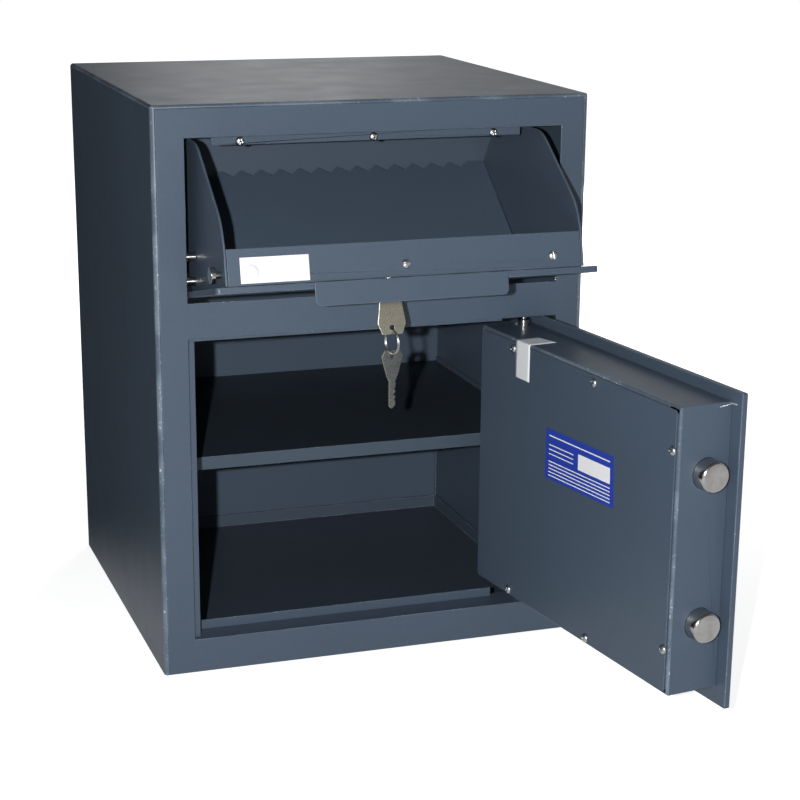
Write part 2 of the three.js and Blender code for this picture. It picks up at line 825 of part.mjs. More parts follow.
function trayKey() {
  const neckEnd = plugFront - keyNeckLength;
  const bowEnd = neckEnd - keyBowLength;
  const outline = polygon([
    [lockX - keyBladeWidth / 2, plugFront + keyBladeLength],
    [lockX - keyBladeWidth / 2, plugFront - seatGap],
    [lockX - keyNeckWidth / 2, plugFront - seatGap],
    [lockX - keyNeckWidth / 2, neckEnd],
    [lockX - keyBowWidth / 2, neckEnd - keyBowCut / 2],
    [lockX - keyBowWidth / 2, bowEnd + keyBowCut],
    [lockX - keyBowWidth / 2 + keyBowCut, bowEnd],
    [lockX + keyBowWidth / 2 - keyBowCut, bowEnd],
    [lockX + keyBowWidth / 2, bowEnd + keyBowCut],
    [lockX + keyBowWidth / 2, neckEnd - keyBowCut / 2],
    [lockX + keyNeckWidth / 2, neckEnd],
    [lockX + keyNeckWidth / 2, plugFront - seatGap],
    [lockX + keyBladeWidth / 2, plugFront - seatGap],
    [lockX + keyBladeWidth / 2, plugFront + keyBladeLength],
  ]);
  outline.holes.push(roundHole(lockX, bowEnd + keyHoleInset, keyHoleRadius));
  return swept('xy', outline, lockZ - keySheet / 2, lockZ + keySheet / 2);
}

// Door pieces, written with the door closed

const plateLeft = openingLeft + doorGapLeft;
const plateRight = doorOpeningRight - doorGapHinge;
const plateLow = sillHeight + doorGapBottom;
const plateHigh = doorOpeningTop - doorGapTop;
const boxLeft = openingLeft + boxInsetLeft;
const boxRight = doorOpeningRight - boxInsetHinge;
const boxFront = doorInside + seatGap;
const boxBack = boxFront + boxDepth;
const boltCentre = boxBottom + boltCentreShare * (boxTop - boxBottom);
const boltSpacing = boltSpacingShare * (boxTop - boxBottom);
const boltHeights = [boltCentre + boltSpacing / 2, boltCentre - boltSpacing / 2];
const boltTip = boxLeft - boltProud;
const boltRoot = boltTip + boltLength;
const barLeft = boltRoot + seatGap;
const barRight = barLeft + boltBarThickness;
const handleX = plateLeft + handleInset;
const keyholeX = handleX + keyholeOffset;
const coverFront = boxBack + seatGap;
const coverBack = coverFront + coverSheet;
const acrossBox = (share) => boxLeft + share * (boxRight - boxLeft);
const upBox = (share) => boxBottom + share * (boxTop - boxBottom);
const coverScrewPlaces = [
  ...coverScrewTopShares.map((share) => [acrossBox(share), boxTop - coverScrewTopInset]),
  ...coverScrewSideShares.map((share) => [boxLeft + coverScrewSideInset, upBox(share)]),
  ...coverScrewBottomShares.map((share) => [acrossBox(share), boxBottom + coverScrewBottomInset]),
];
const halfTurn = boltTravel / 2;

function slotHole(u, v, width, height) {
  const hole = new THREE.Path();
  const reach = (height - width) / 2;
  hole.absarc(u, v + reach, width / 2, 0, Math.PI, false);
  hole.absarc(u, v - reach, width / 2, Math.PI, Math.PI * 2, false);
  return hole;
}

function doorPlate() {
  const outline = rounded([plateLeft, plateRight], [plateLow, plateHigh], evenly(doorPlateCornerRadius));
  outline.holes.push(roundHole(handleX, boltCentre, spindleRadius + runningGap));
  outline.holes.push(slotHole(keyholeX, boltCentre, keyholeWidth, keyholeHeight));
  return swept('xz', outline, doorRecess, doorInside);
}

// Four bent walls with narrow flanges that carry the cover
function doorBox() {
  const bend = boxBendRadius;
  const plan = rounded([boxLeft, boxRight], [boxFront, boxBack], [0, 0, bend, bend]);
  const side = rounded([boxFront, boxBack], [boxBottom, boxTop], [0, bend, bend, 0]);
  const outside = swept('xy', plan, boxBottom, boxTop).intersect(swept('yz', side, boxLeft, boxRight));
  const inX = [boxLeft + boxSheet, boxRight - boxSheet];
  const inZ = [boxBottom + boxSheet, boxTop - boxSheet];
  const mouthX = [inX[0] + boxFlangeWidth, inX[1] - boxFlangeWidth];
  const mouthZ = [inZ[0] + boxFlangeWidth, inZ[1] - boxFlangeWidth];
  const flangeY = [boxBack - boxSheet - overrun, boxBack + overrun];
  const relief = (x, z) => block(x, flangeY, z);
  const wide = boxFlangeWidth;
  const narrow = boxReliefWidth;
  const cuts = [
    block(inX, [boxFront - overrun, boxBack - boxSheet], inZ),
    block(mouthX, flangeY, mouthZ),
    relief([inX[0], inX[0] + wide], [inZ[0], inZ[0] + narrow]),
    relief([inX[1] - wide, inX[1]], [inZ[0], inZ[0] + narrow]),
    relief([inX[0], inX[0] + wide], [inZ[1] - narrow, inZ[1]]),
    relief([inX[1] - wide, inX[1]], [inZ[1] - narrow, inZ[1]]),
  ];
  for (const z of boltHeights) {
    const place = [0, boltDepth, z];
    cuts.push(rod('x', boltRadius + runningGap, boxLeft - overrun, boxLeft + boxSheet + overrun, place, roundSides));
  }
  const pinRadius = hingePinRadius + runningGap;
  const pinPlace = [hingeX, hingeDepth, 0];
  cuts.push(rod('z', pinRadius, boxBottom - overrun, boxBottom + boxSheet + overrun, pinPlace, roundSides));
  cuts.push(rod('z', pinRadius, boxTop - boxSheet - overrun, boxTop + overrun, pinPlace, roundSides));
  for (const [x, z] of coverScrewPlaces) {
    const place = [x, 0, z];
    cuts.push(rod('y', screwShankRadius + screwHoleClearance, boxBack - boxSheet - overrun, boxBack + overrun, place, smallSides));
  }
  return without(outside, cuts);
}

function doorCover() {
  const x = [boxLeft + coverInset, boxRight - coverInset];
  const z = [boxBottom + coverInset, boxTop - coverInset];
  const outline = rounded(x, z, evenly(coverCornerRadius));
  for (const [u, v] of coverScrewPlaces) {
    outline.holes.push(roundHole(u, v, screwShankRadius + screwHoleClearance));
  }
  return swept('xz', outline, coverFront, coverBack);
}

function doorBolt(z) {
  const profile = [
    [0, boltTip],
    [boltRadius - boltChamfer, boltTip],
    [boltRadius, boltTip + boltChamfer],
    [boltRadius, boltRoot],
    [0, boltRoot],
  ];
  return turned('x', profile, [0, boltDepth, z], roundSides);
}

// The bar joins both bolts, and its tongue is slotted for the crank pin
function boltBar() {
  const y = [boltDepth - boltBarWidth / 2, boltDepth + boltBarWidth / 2];
  const z = [boltHeights[1] - boltBarOverlap, boltHeights[0] + boltBarOverlap];
  const pinX = handleX - halfTurn;
  const slotHalf = crankPinDoorRadius + slotGap;
  const pinLow = Math.sqrt(boltTravel ** 2 - halfTurn ** 2);
  const tongueRight = pinX + slotHalf + tongueEnd;
  const tongueY = [boltDepth - tongueSheet / 2, boltDepth + tongueSheet / 2];
  const tongue = block([barRight - boltBarThickness / 2, tongueRight], tongueY, [boltCentre - tongueBelow, boltCentre + tongueAbove]);
  const slotLow = boltCentre + pinLow - slotHalf;
  const slotHigh = boltCentre + boltTravel + slotHalf;
  const slot = block([pinX - slotHalf, pinX + slotHalf], [tongueY[0] - overrun, tongueY[1] + overrun], [slotLow, slotHigh]);
  return joined([block([barLeft, barRight], y, z), tongue]).subtract(slot);
}

function boltGuide() {
  const x = [boxLeft + guideInset, boxLeft + guideInset + guideSheet];
  const z = [boltHeights[1] - guideOverlap, boltHeights[0] + guideOverlap];
  const angle = joined([
    block(x, [boxFront, boxFront + guideDepth], z),
    block([x[0], x[0] + guideFoot], [boxFront, boxFront + guideSheet], z),
  ]);
  const holes = boltHeights.map((height) => {
    return rod('x', boltRadius + runningGap, x[0] - overrun, x[1] + overrun, [0, boltDepth, height], roundSides);
  });
  return without(angle, holes);
}

function lockCase() {
  const x = [keyholeX - lockCaseWidth / 2, keyholeX + lockCaseWidth / 2];
  const z = [boltCentre - lockCaseHeight / 2, boltCentre + lockCaseHeight / 2];
  return swept('xz', rounded(x, z, evenly(lockCaseCornerRadius)), boxFront, boxFront + lockCaseDepth);
}

const handleFace = doorRecess - seatGap;
const crankFront = boltDepth - tongueSheet / 2 - runningGap - crankSheet - crankPinDoorRadius;

function doorCrank() {
  const pinX = handleX - halfTurn;
  const pinZ = boltCentre + Math.sqrt(boltTravel ** 2 - halfTurn ** 2);
  const back = crankFront + crankSheet;
  return joined([
    rod('y', crankRadius, crankFront, back, [handleX, 0, boltCentre], roundSides),
    rod('y', crankPinDoorRadius, crankFront, back + crankPinDoorLength, [pinX, 0, pinZ], smallSides),
  ]);
}

function doorHandle() {
  const hubFront = handleFace - handleHubLength;
  const neckFront = hubFront - handleNeckLength;
  const armFront = neckFront - handleArmThickness;
  const profile = [
    [0, neckFront - handleArmThickness / 2],
    [handleNeckRadius, neckFront - handleArmThickness / 2],
    [handleNeckRadius, hubFront],
    [handleHubRadius, hubFront],
    [handleHubRadius, handleFace],
    [spindleRadius, handleFace],
    [spindleRadius, crankFront - seatGap],
    [0, crankFront - seatGap],
  ];
  const arm = softPolygon([
    [handleX - handleArmTipWidth / 2, boltCentre - handleArmLength, handleArmTipWidth / 3],
    [handleX + handleArmTipWidth / 2, boltCentre - handleArmLength, handleArmTipWidth / 3],
    [handleX + handleArmWidth / 2, boltCentre + handleArmHeel, handleArmWidth / 3],
    [handleX - handleArmWidth / 2, boltCentre + handleArmHeel, handleArmWidth / 3],
  ]);
  return joined([turned('y', profile, [handleX, 0, boltCentre], roundSides), swept('xz', arm, armFront, neckFront)]);
}

const keyholeFront = handleFace - keyholePlateSheet;
const rivetZ = boltCentre + keyholeRivetRise;

function keyholePlate() {
  const outline = new THREE.Shape();
  outline.absarc(keyholeX, boltCentre, keyholePlateRadius, 0, Math.PI * 2, false);
  outline.holes.push(slotHole(keyholeX, boltCentre, keyholeWidth, keyholeHeight));
  const options = { depth: keyholePlateSheet, bevelEnabled: false, curveSegments: roundSides };
  const geometry = new THREE.ExtrudeGeometry(outline, options);
  geometry.translate(0, 0, -handleFace);
  geometry.applyMatrix4(planes.xz);
  const postFront = keyholeFront - runningGap - keyholeCoverSheet - runningGap;
  const place = [keyholeX, 0, rivetZ];
  return joined([
    toSolid(geometry),
    rod('y', keyholeRivetRadius, postFront - keyholeRivetHeadLength, keyholeFront + keyholePlateSheet / 2, place, smallSides),
    rod('y', keyholeRivetHeadRadius, postFront - keyholeRivetHeadLength, postFront, place, smallSides),
  ]);
}

// The cover hangs from its rivet over the keyhole
function keyholeCover() {
  const back = keyholeFront - runningGap;
  const front = back - keyholeCoverSheet;
  const ear = [keyholeX, 0, rivetZ];
  const disc = [keyholeX, 0, boltCentre];
  const hole = rod('y', keyholeRivetRadius + runningGap, front - overrun, back + overrun, ear, smallSides);
  return joined([
    rod('y', keyholeCoverRadius, front, back, disc, roundSides),
    rod('y', keyholeCoverEarRadius, front, back, ear, smallSides),
  ]).subtract(hole);
}

// A screw placed against a face, turned so that its head looks along the given way
function screw(name, place, turn) {
  const mesh = toMesh(name, screwSolid(), zincSteel);
  mesh.position.set(place[0], place[1], place[2]);
  mesh.rotation.set(turn[0], turn[1], turn[2]);
  return mesh;
}

// Assembly
function addCabinet(parent) {
  parent.add(
    toMesh('shell_wrap', shellWrap(), bodyPaint),
    toMesh('front_frame', frontFrame(), bodyPaint),
    toMesh('back_panel', backPanel(), bodyPaint),
    toMesh('base_plate', basePlate(), insidePaint),
    toMesh('floor_pan', floorPan(), insidePaint),
    toMesh('sill_lip', sillLip(), bodyPaint),
    toMesh('door_stop_side', sideStop(), bodyPaint),
    toMesh('door_stop_top', topStop(), bodyPaint),
    toMesh('hinge_pin_upper', hingePin(boxTop - hingePinEntry, doorOpeningTop), polishedSteel),
    toMesh('hinge_pin_lower', hingePin(sillHeight, boxBottom + hingePinEntry), polishedSteel),
    toMesh('shelf', shelf(), insidePaint),
    toMesh('shelf_rail_left', shelfRail(-1), insidePaint),
    toMesh('shelf_rail_right', shelfRail(1), insidePaint),
    toMesh('baffle', baffle(), insidePaint),
    toMesh('guard_strip', guardStrip(), bodyPaint),
    toMesh('tray_bracket_left', bracket(-1), insidePaint),
    toMesh('tray_bracket_right', bracket(1), insidePaint),
    toMesh('pivot_pin_left', pivotPin(-1), polishedSteel),
    toMesh('pivot_pin_right', pivotPin(1), polishedSteel),
  );
  const stripFace = stripSetback - seatGap;
  stripScrewShares.forEach((share, index) => {
    parent.add(screw(`strip_screw_${index + 1}`, [share * stripHalfLength, stripFace, stripScrewZ], [0, 0, 0]));
  });
}

function addTray(parent) {
  const tray = new THREE.Group();
  tray.position.set(0, pivotDepth, pivotZ);
  tray.rotation.x = trayOpenAngle;
  tray.add(
    toMesh('tray_panel', trayPanel(), bodyPaint),
    toMesh('tray_handle_flap', handleFlap(), bodyPaint),
    toMesh('tray_cheek_left', cheek(trayLeft, true), bodyPaint),
    toMesh('tray_cheek_right', cheek(trayRight - traySheet, false), bodyPaint),
    toMesh('tray_slide', notchedSlide(), bodyPaint),
    toMesh('tray_lip', trayLip(), bodyPaint),
    toMesh('tray_lock_cover', lockCover(), insidePaint),
    toMesh('tray_travel_pin_left', travelPin(-1), polishedSteel),
    toMesh('tray_travel_pin_right', travelPin(1), polishedSteel),
    toMesh('tray_lock_barrel', lockBarrel(), nickel),
    toMesh('tray_lock_plug', lockPlug(), nickel),
    toMesh('tray_lock_cam', lockCam(), zincSteel),
    toMesh('tray_key', trayKey(), nickel),
    toMesh('side_bolt', sideBolt(), polishedSteel),
  );
  const lipFace = panelHigh + seatGap;
  lipScrewShares.forEach((share, index) => {
    tray.add(screw(`lip_screw_${index + 1}`, [lipX(share), sideBoltY, lipFace], [-Math.PI / 2, 0, 0]));
  });
  parent.add(tray);
}

function addDoor(parent) {
  const hinge = new THREE.Group();
  hinge.position.set(hingeX, hingeDepth, 0);
  hinge.rotation.z = doorOpenAngle;
  const door = new THREE.Group();
  door.position.set(-hingeX, -hingeDepth, 0);
  door.add(
    toMesh('door_plate', doorPlate(), bodyPaint),
    toMesh('door_box', doorBox(), bodyPaint),
    toMesh('door_cover', doorCover(), bodyPaint),
    toMesh('door_bolt_upper', doorBolt(boltHeights[0]), polishedSteel),
    toMesh('door_bolt_lower', doorBolt(boltHeights[1]), polishedSteel),
    toMesh('door_bolt_bar', boltBar(), darkSteel),
    toMesh('door_bolt_guide', boltGuide(), darkSteel),
    toMesh('door_lock_case', lockCase(), darkSteel),
    toMesh('door_crank', doorCrank(), darkSteel),
    toMesh('door_handle', doorHandle(), polishedSteel),
    toMesh('keyhole_plate', keyholePlate(), nickel),
    toMesh('keyhole_cover', keyholeCover(), nickel),
  );
  const coverFace = coverBack + seatGap;
  coverScrewPlaces.forEach(([x, z], index) => {
    door.add(screw(`cover_screw_${index + 1}`, [x, coverFace, z], [0, 0, Math.PI]));
  });
  hinge.add(door);
  parent.add(hinge);
}

const safe = new THREE.Group();
safe.position.y = -bodyDepth / 2;
addCabinet(safe);
addTray(safe);
addDoor(safe);

const object = new THREE.Group();
object.add(safe);

export default object;
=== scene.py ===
import json
import math

import bmesh
import bpy
from mathutils import Matrix, Vector

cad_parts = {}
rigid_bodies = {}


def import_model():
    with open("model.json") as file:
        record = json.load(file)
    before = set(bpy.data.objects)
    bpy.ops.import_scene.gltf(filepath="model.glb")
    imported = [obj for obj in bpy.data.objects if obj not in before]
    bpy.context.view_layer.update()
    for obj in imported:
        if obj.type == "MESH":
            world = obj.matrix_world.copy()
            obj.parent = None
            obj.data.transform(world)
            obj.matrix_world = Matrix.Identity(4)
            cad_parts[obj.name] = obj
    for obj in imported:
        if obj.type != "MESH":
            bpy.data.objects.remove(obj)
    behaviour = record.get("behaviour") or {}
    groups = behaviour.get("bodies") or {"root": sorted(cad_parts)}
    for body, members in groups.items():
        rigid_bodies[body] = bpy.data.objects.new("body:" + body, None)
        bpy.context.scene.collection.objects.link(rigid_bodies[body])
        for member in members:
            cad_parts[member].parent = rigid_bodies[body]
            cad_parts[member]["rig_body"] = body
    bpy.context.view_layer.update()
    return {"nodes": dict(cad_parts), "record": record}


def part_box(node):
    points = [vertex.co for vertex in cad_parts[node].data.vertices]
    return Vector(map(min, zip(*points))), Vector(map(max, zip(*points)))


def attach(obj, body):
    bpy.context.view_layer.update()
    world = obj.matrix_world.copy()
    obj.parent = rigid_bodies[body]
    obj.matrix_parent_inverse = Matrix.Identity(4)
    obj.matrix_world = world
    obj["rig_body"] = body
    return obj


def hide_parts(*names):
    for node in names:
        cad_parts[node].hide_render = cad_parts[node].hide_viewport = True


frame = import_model()
scene = bpy.context.scene
nodes = frame["nodes"]
slotOf = {part["node"]: part["material_slot"] for part in frame["record"]["subparts"]}
mm = 0.001
bodyDepth = 370
frontY = -bodyDepth / 2

# Camera and light

camera = {
    "place": (-531.1, -1785.4, 688.3),
    "right": (0.94415, -0.32937, 0.00981),
    "up": (0.08560, 0.27391, 0.95794),
    "ahead": (0.31820, 0.90360, -0.28681),
    "lens": 89.04,
    "shift": (-0.0124, 0.0735),
}
flash = {"left": 95, "above": 8, "size": 22, "power": 28.6}  # a small lamp just beside the camera
roomLamp = {  # soft light for the back and the right side
    "place": (1550, 1950, 800),
    "aim": (0, 0, 250),
    "size": 1500,
    "power": 42,
}
# The room's light: on matt paint, less from the left, and mirrored low down, high up and in front
ambient = {
    "diffuse": 0.17,
    "diffuseLeft": 0.06,
    "leftSide": -0.8,
    "horizon": 1.0,
    "horizonTo": 0.3,
    "ceiling": 0.22,
    "ceilingFrom": 0.75,
    "room": 0.31,
    "wallFrom": 0.1,
}
# The mirrored wall is bright between these slopes, sideways over forwards, and dim beside them
backdrop = {
    "from": 0.175,
    "to": 0.235,
    "fadeFrom": 0.322,
    "fadeTo": 0.352,
    "bright": 1.5,
    "faded": 0.39,
    "side": 0.03,
}
# Mirrored, the floor is pale in front of the safe and to its right, dark behind it and to its left:
# painted light and shade, seen only in reflections
floorSetting = {
    "half": 6000,
    "color": "#f4f4f4",
    "lift": 0.66,
    "liftFrom": 400,
    "liftTo": 1700,
    "mirroredNear": "#6a6a6a",
    "mirroredFar": "#1c1c1c",
    "shineNear": 0.48,
    "shineFar": 0.0,
    "nearEnd": 180,
    "farStart": 520,
}


def point(triple):
    return Vector(triple) * mm


def turnOf(*columns):
    return Matrix([[column[row] for column in columns] for row in range(3)]).to_4x4()


def lensAt(place):
    columns = (Vector(camera["right"]), Vector(camera["up"]), -Vector(camera["ahead"]))
    return Matrix.Translation(point(place)) @ turnOf(*columns)


def placed(name, data):
    thing = bpy.data.objects.new(name, data)
    scene.collection.objects.link(thing)
    return thing


def addLamp(name, setting, matrix):
    data = bpy.data.lights.new(name, "AREA")
    data.size = setting["size"] * mm
    data.energy = setting["power"]
    lamp = placed(name, data)
    lamp.matrix_world = matrix
    return lamp


cameraData = bpy.data.cameras.new("photoCamera")
cameraData.sensor_width = 36
cameraData.lens = camera["lens"]
cameraData.shift_x, cameraData.shift_y = camera["shift"]
cameraData.clip_end = 50
scene.camera = placed("photoCamera", cameraData)
scene.camera.matrix_world = lensAt(camera["place"])

flashPlace = (
    Vector(camera["place"])
    - Vector(camera["right"]) * flash["left"]
    + Vector(camera["up"]) * flash["above"]
)
addLamp("flash", flash, lensAt(flashPlace)).data.shape = "DISK"

toAim = Vector(roomLamp["aim"]) - Vector(roomLamp["place"])
roomTurn = toAim.to_track_quat("-Z", "Y").to_matrix().to_4x4()
roomLight = addLamp("roomLamp", roomLamp, Matrix.Translation(point(roomLamp["place"])) @ roomTurn)
roomLight.visible_glossy = False  # else the roof would mirror it


# Node trees


def linear(code):
    values = [int(code[index : index + 2], 16) / 255 for index in (1, 3, 5)]
    return [v / 12.92 if v <= 0.04045 else ((v + 0.055) / 1.055) ** 2.4 for v in values] + [1]


def addNode(tree, kind, inputs=None, **settings):
    node = tree.nodes.new(kind)
    for name, value in settings.items():
        setattr(node, name, value)
    for key, value in (inputs or {}).items():
        if isinstance(value, bpy.types.NodeSocket):
            tree.links.new(value, node.inputs[key])
        else:
            node.inputs[key].default_value = value
    return node


def reckon(tree, operation, first, second):
    return addNode(tree, "ShaderNodeMath", {0: first, 1: second}, operation=operation).outputs[0]


def spread(tree, value, low, high, toLow, toHigh, kind="LINEAR"):
    inputs = {0: value, 1: low, 2: high, 3: toLow, 4: toHigh}
    return addNode(tree, "ShaderNodeMapRange", inputs, interpolation_type=kind).outputs[0]


# Noise keeps mostly between 0.3 and 0.7
def spreadNoise(tree, value, toLow, toHigh):
    return spread(tree, value, 0.3, 0.7, toLow, toHigh)


def mixValue(tree, factor, first, second):
    inputs = {0: factor, 2: first, 3: second}
    return addNode(tree, "ShaderNodeMix", inputs, data_type="FLOAT").outputs[0]


def mixColor(tree, factor, first, second):
    inputs = {0: factor, 6: first, 7: second}
    return addNode(tree, "ShaderNodeMix", inputs, data_type="RGBA").outputs[2]


# Whether a ray comes straight from the camera, and whether by a mirror or through glass
def rayKinds(tree):
    rays = addNode(tree, "ShaderNodeLightPath").outputs
    shine = reckon(tree, "MAXIMUM", rays["Is Glossy Ray"], rays["Is Transmission Ray"])
    return rays["Is Camera Ray"], shine


smooth = "SMOOTHSTEP"
world = bpy.data.worlds.new("paleRoom")
world.use_nodes = True
scene.world = world
tree = world.node_tree
tree.nodes.clear()
fromCamera, shine = rayKinds(tree)
ways = addNode(tree, "ShaderNodeTexCoord").outputs["Generated"]
way = addNode(tree, "ShaderNodeSeparateXYZ", {0: ways}).outputs
low, high = ambient["horizonTo"], ambient["ceilingFrom"]
room = spread(tree, way["Z"], low, high, ambient["horizon"], ambient["ceiling"], smooth)
slant = reckon(tree, "DIVIDE", way["X"], way["Y"])
low, high = backdrop["from"], backdrop["to"]
wall = spread(tree, slant, low, high, backdrop["side"], backdrop["bright"], smooth)
fade = spread(tree, slant, backdrop["fadeFrom"], backdrop["fadeTo"], 1.0, backdrop["faded"], smooth)
bright = reckon(tree, "MULTIPLY", wall, fade)
ahead = spread(tree, way["Y"], 0.0, ambient["wallFrom"], ambient["room"], bright)
mirrored = reckon(tree, "MULTIPLY", room, ahead)
matt = spread(tree, way["X"], ambient["leftSide"], 0.0, ambient["diffuseLeft"], ambient["diffuse"])
seen = mixValue(tree, shine, matt, mirrored)
whole = mixValue(tree, fromCamera, seen, 1.0)
sky = addNode(tree, "ShaderNodeBackground", {"Color": (1, 1, 1, 1), "Strength": whole})
addNode(tree, "ShaderNodeOutputWorld", {"Surface": sky.outputs[0]})


def newMaterial(name):
    material = bpy.data.materials.new(name)
    material.use_nodes = True
    tree = material.node_tree
    tree.nodes.clear()
    return material, tree, addNode(tree, "ShaderNodeTexCoord").outputs["Object"]


def finishMaterial(material, tree, setting, inputs):
    shader = addNode(tree, "ShaderNodeBsdfPrincipled", inputs)
    addNode(tree, "ShaderNodeOutputMaterial", {"Surface": shader.outputs[0]})
    material.diffuse_color = linear(setting["color"])
    return material


def noise(tree, at, size, detail=2, roughness=0.5):
    inputs = {"Vector": at, "Scale": 1 / (size * mm), "Detail": detail, "Roughness": roughness}
    return addNode(tree, "ShaderNodeTexNoise", inputs).outputs[0]


def unevenGloss(tree, value, setting):
    least, most = setting["rough"] - setting["polish"], setting["rough"] + setting["smudge"]
    return spreadNoise(tree, value, least, most)


def relief(tree, height, strength, depth):
    inputs = {"Height": height, "Strength": strength, "Distance": depth * mm}
    return addNode(tree, "ShaderNodeBump", inputs).outputs[0]


# Powder coat: electrostatic paint baked on sheet steel. It gives a dark satin slate with a
# faint orange peel, a little cloudiness, bare light chips along the handled edges, and a
# lighter tint along every rolled edge, partly rubbed paint and partly painted highlight.
def powderCoat(name, setting):
    material, tree, at = newMaterial(name)
    tint = linear(setting["color"])[:3]
    for size, share, detail in (("cloudSize", "cloud", 3), ("grainSize", "grain", 2)):
        grains = noise(tree, at, setting[size], detail)
        tone = spreadNoise(tree, grains, 1 - setting[share], 1 + setting[share])
        inputs = {0: tint, "Scale": tone}
        tint = addNode(tree, "ShaderNodeVectorMath", inputs, operation="SCALE").outputs[0]
    edge = addNode(tree, "ShaderNodeAttribute", attribute_name="edgeWearAndHighlight").outputs["Fac"]
    chips = noise(tree, at, setting["chipSize"], detail=3, roughness=0.7)
    patches = noise(tree, at, setting["chipRun"], detail=1)
    chipMask = spread(tree, chips, setting["chipFrom"], setting["chipFrom"] + setting["chipRim"], 0, 1)
    patchMask = spread(
        tree, patches, setting["patchFrom"], setting["patchTo"], setting["patchLeast"], 1
    )
    edgeMask = spread(tree, edge, setting["edgeFrom"], setting["edgeTo"], 0, 1)
    worn = reckon(tree, "MULTIPLY", reckon(tree, "MULTIPLY", chipMask, edgeMask), patchMask)
    # A lighter tint along the rolled edges: painted highlight, partly rubbed paint
    rubAndHighlightMask = spread(tree, edge, setting["rubAndHighlightFrom"], 1, 0, setting["edgeRubAndHighlight"])
    rubAndHighlightShare = reckon(tree, "MULTIPLY", rubAndHighlightMask, patchMask)
    rubAndHighlightTint = mixColor(tree, rubAndHighlightShare, tint, linear(setting["rubAndHighlightColor"]))
    color = mixColor(tree, worn, rubAndHighlightTint, linear(setting["chipColor"]))
    hands = noise(tree, at, setting["handSize"], detail=3)
    peel = noise(tree, at, setting["peelSize"])
    inputs = {
        "Base Color": color,
        "Roughness": unevenGloss(tree, hands, setting),
        "Specular IOR Level": setting["shine"],
        "Normal": relief(tree, peel, setting["peel"], setting["peelDepth"]),
    }
    return finishMaterial(material, tree, setting, inputs)


coat = {
    "color": "#465362",
    "cloudSize": 160,
    "cloud": 0.03,
    "grainSize": 1.6,
    "grain": 0.05,
    "chipSize": 2.6,
    "chipRun": 34,
    "chipFrom": 0.62,
    "chipRim": 0.03,
    "patchFrom": 0.45,
    "patchTo": 0.6,
    "patchLeast": 0.25,
    "edgeFrom": 0.35,
    "edgeTo": 0.8,
    # The tint along the rolled edges is painted highlight, partly rubbed paint: where it starts, its
    # colour and its strength
    "rubAndHighlightFrom": 0.2,
    "chipColor": "#c3cad0",
    "rubAndHighlightColor": "#8796a3",
    "edgeRubAndHighlight": 0.42,
    "rough": 0.4,
    "handSize": 38,
    "polish": 0.02,
    "smudge": 0.025,
    "peelSize": 2.4,  # real orange peel is near 1 mm, drawn wider so that it shows
    "peel": 0.16,
    "peelDepth": 0.12,
    "shine": 0.35,
}
bodyCoat = powderCoat("powderCoatSlate", coat)
insideCoat = powderCoat("powderCoatInside", {**coat, "color": "#434f5d", "rough": 0.46, "shine": 0.3})
# The floor pan's and the shelf's tops take darker copies of the coat: painted shade, where light falls on
# them at a low angle
panTopShadedCoat = powderCoat("powderCoatPanShadedTop", {**coat, "color": "#3c4551", "rough": 0.44, "shine": 0.25})
shelfTopShadedCoat = powderCoat("powderCoatShelfShadedTop", {**coat, "color": "#2f3740", "rough": 0.5, "shine": 0.22})


# Turned and polished steel: cut on a lathe, then buffed. Fine rings run round it, so that the
# highlights stretch across the rings and the end face shows circles.
def turnedSteel(name, setting):
    material, tree, at = newMaterial(name)
    line = addNode(tree, "ShaderNodeAttribute", attribute_name="turnLine").outputs["Fac"]
    inputs = {"W": line, "Scale": 1 / setting["ringPitch"], "Detail": 2}
    rings = addNode(tree, "ShaderNodeTexNoise", inputs, noise_dimensions="1D").outputs[0]
    smear = noise(tree, at, setting["smearSize"], detail=3)
    inputs = {
        "Base Color": mixColor(tree, smear, linear(setting["color"]), linear(setting["dull"])),
        "Metallic": 1.0,
        "Roughness": unevenGloss(tree, rings, setting),
        "Normal": relief(tree, rings, setting["cut"], setting["cutDepth"]),
    }
    return finishMaterial(material, tree, setting, inputs)


boltSteel = turnedSteel(
    "turnedPolishedSteel",
    {
        "color": "#e4e2e0",
        "dull": "#a5a3a0",
        "smearSize": 9,
        "rough": 0.16,
        "polish": 0.05,
        "smudge": 0.08,
        "ringPitch": 0.35,
        "cut": 0.4,
        "cutDepth": 0.02,
    },
)


# Plated or plain metal from a press or a mill: small scratches in all directions, with a
# slightly uneven polish. The same tree serves nickel, zinc and mill steel.
def pressedMetal(name, setting):
    material, tree, at = newMaterial(name)
    patches = noise(tree, at, setting["patchSize"], detail=3)
    stretched = addNode(tree, "ShaderNodeMapping", {"Vector": at, "Scale": setting["scratchWay"]})
    scratches = noise(tree, stretched.outputs[0], setting["scratchSize"], detail=4, roughness=0.7)
    inputs = {
        "Base Color": mixColor(tree, patches, linear(setting["color"]), linear(setting["dull"])),
        "Metallic": 1.0,
        "Roughness": unevenGloss(tree, scratches, setting),
        "Normal": relief(tree, scratches, setting["scratch"], setting["scratchDepth"]),
    }
    return finishMaterial(material, tree, setting, inputs)


plating = {
    "patchSize": 6,
    "scratchWay": (1, 1, 4),
    "scratchSize": 0.8,
    "scratch": 0.4,
    "scratchDepth": 0.03,
    "polish": 0.07,
    "smudge": 0.1,
}
nickelPlate = pressedMetal(
    "nickelPlatedBrass", {**plating, "color": "#dad6c8", "dull": "#b5af9c", "rough": 0.24}
)
zincPlate = pressedMetal(
    "zincPlatedSteel", {**plating, "color": "#dcdedf", "dull": "#b3b7ba", "rough": 0.3}
)
millSteel = pressedMetal(
    "coldRolledSteel",
    {**plating, "color": "#8b8e90", "dull": "#6a6d70", "rough": 0.42, "patchSize": 18},
)


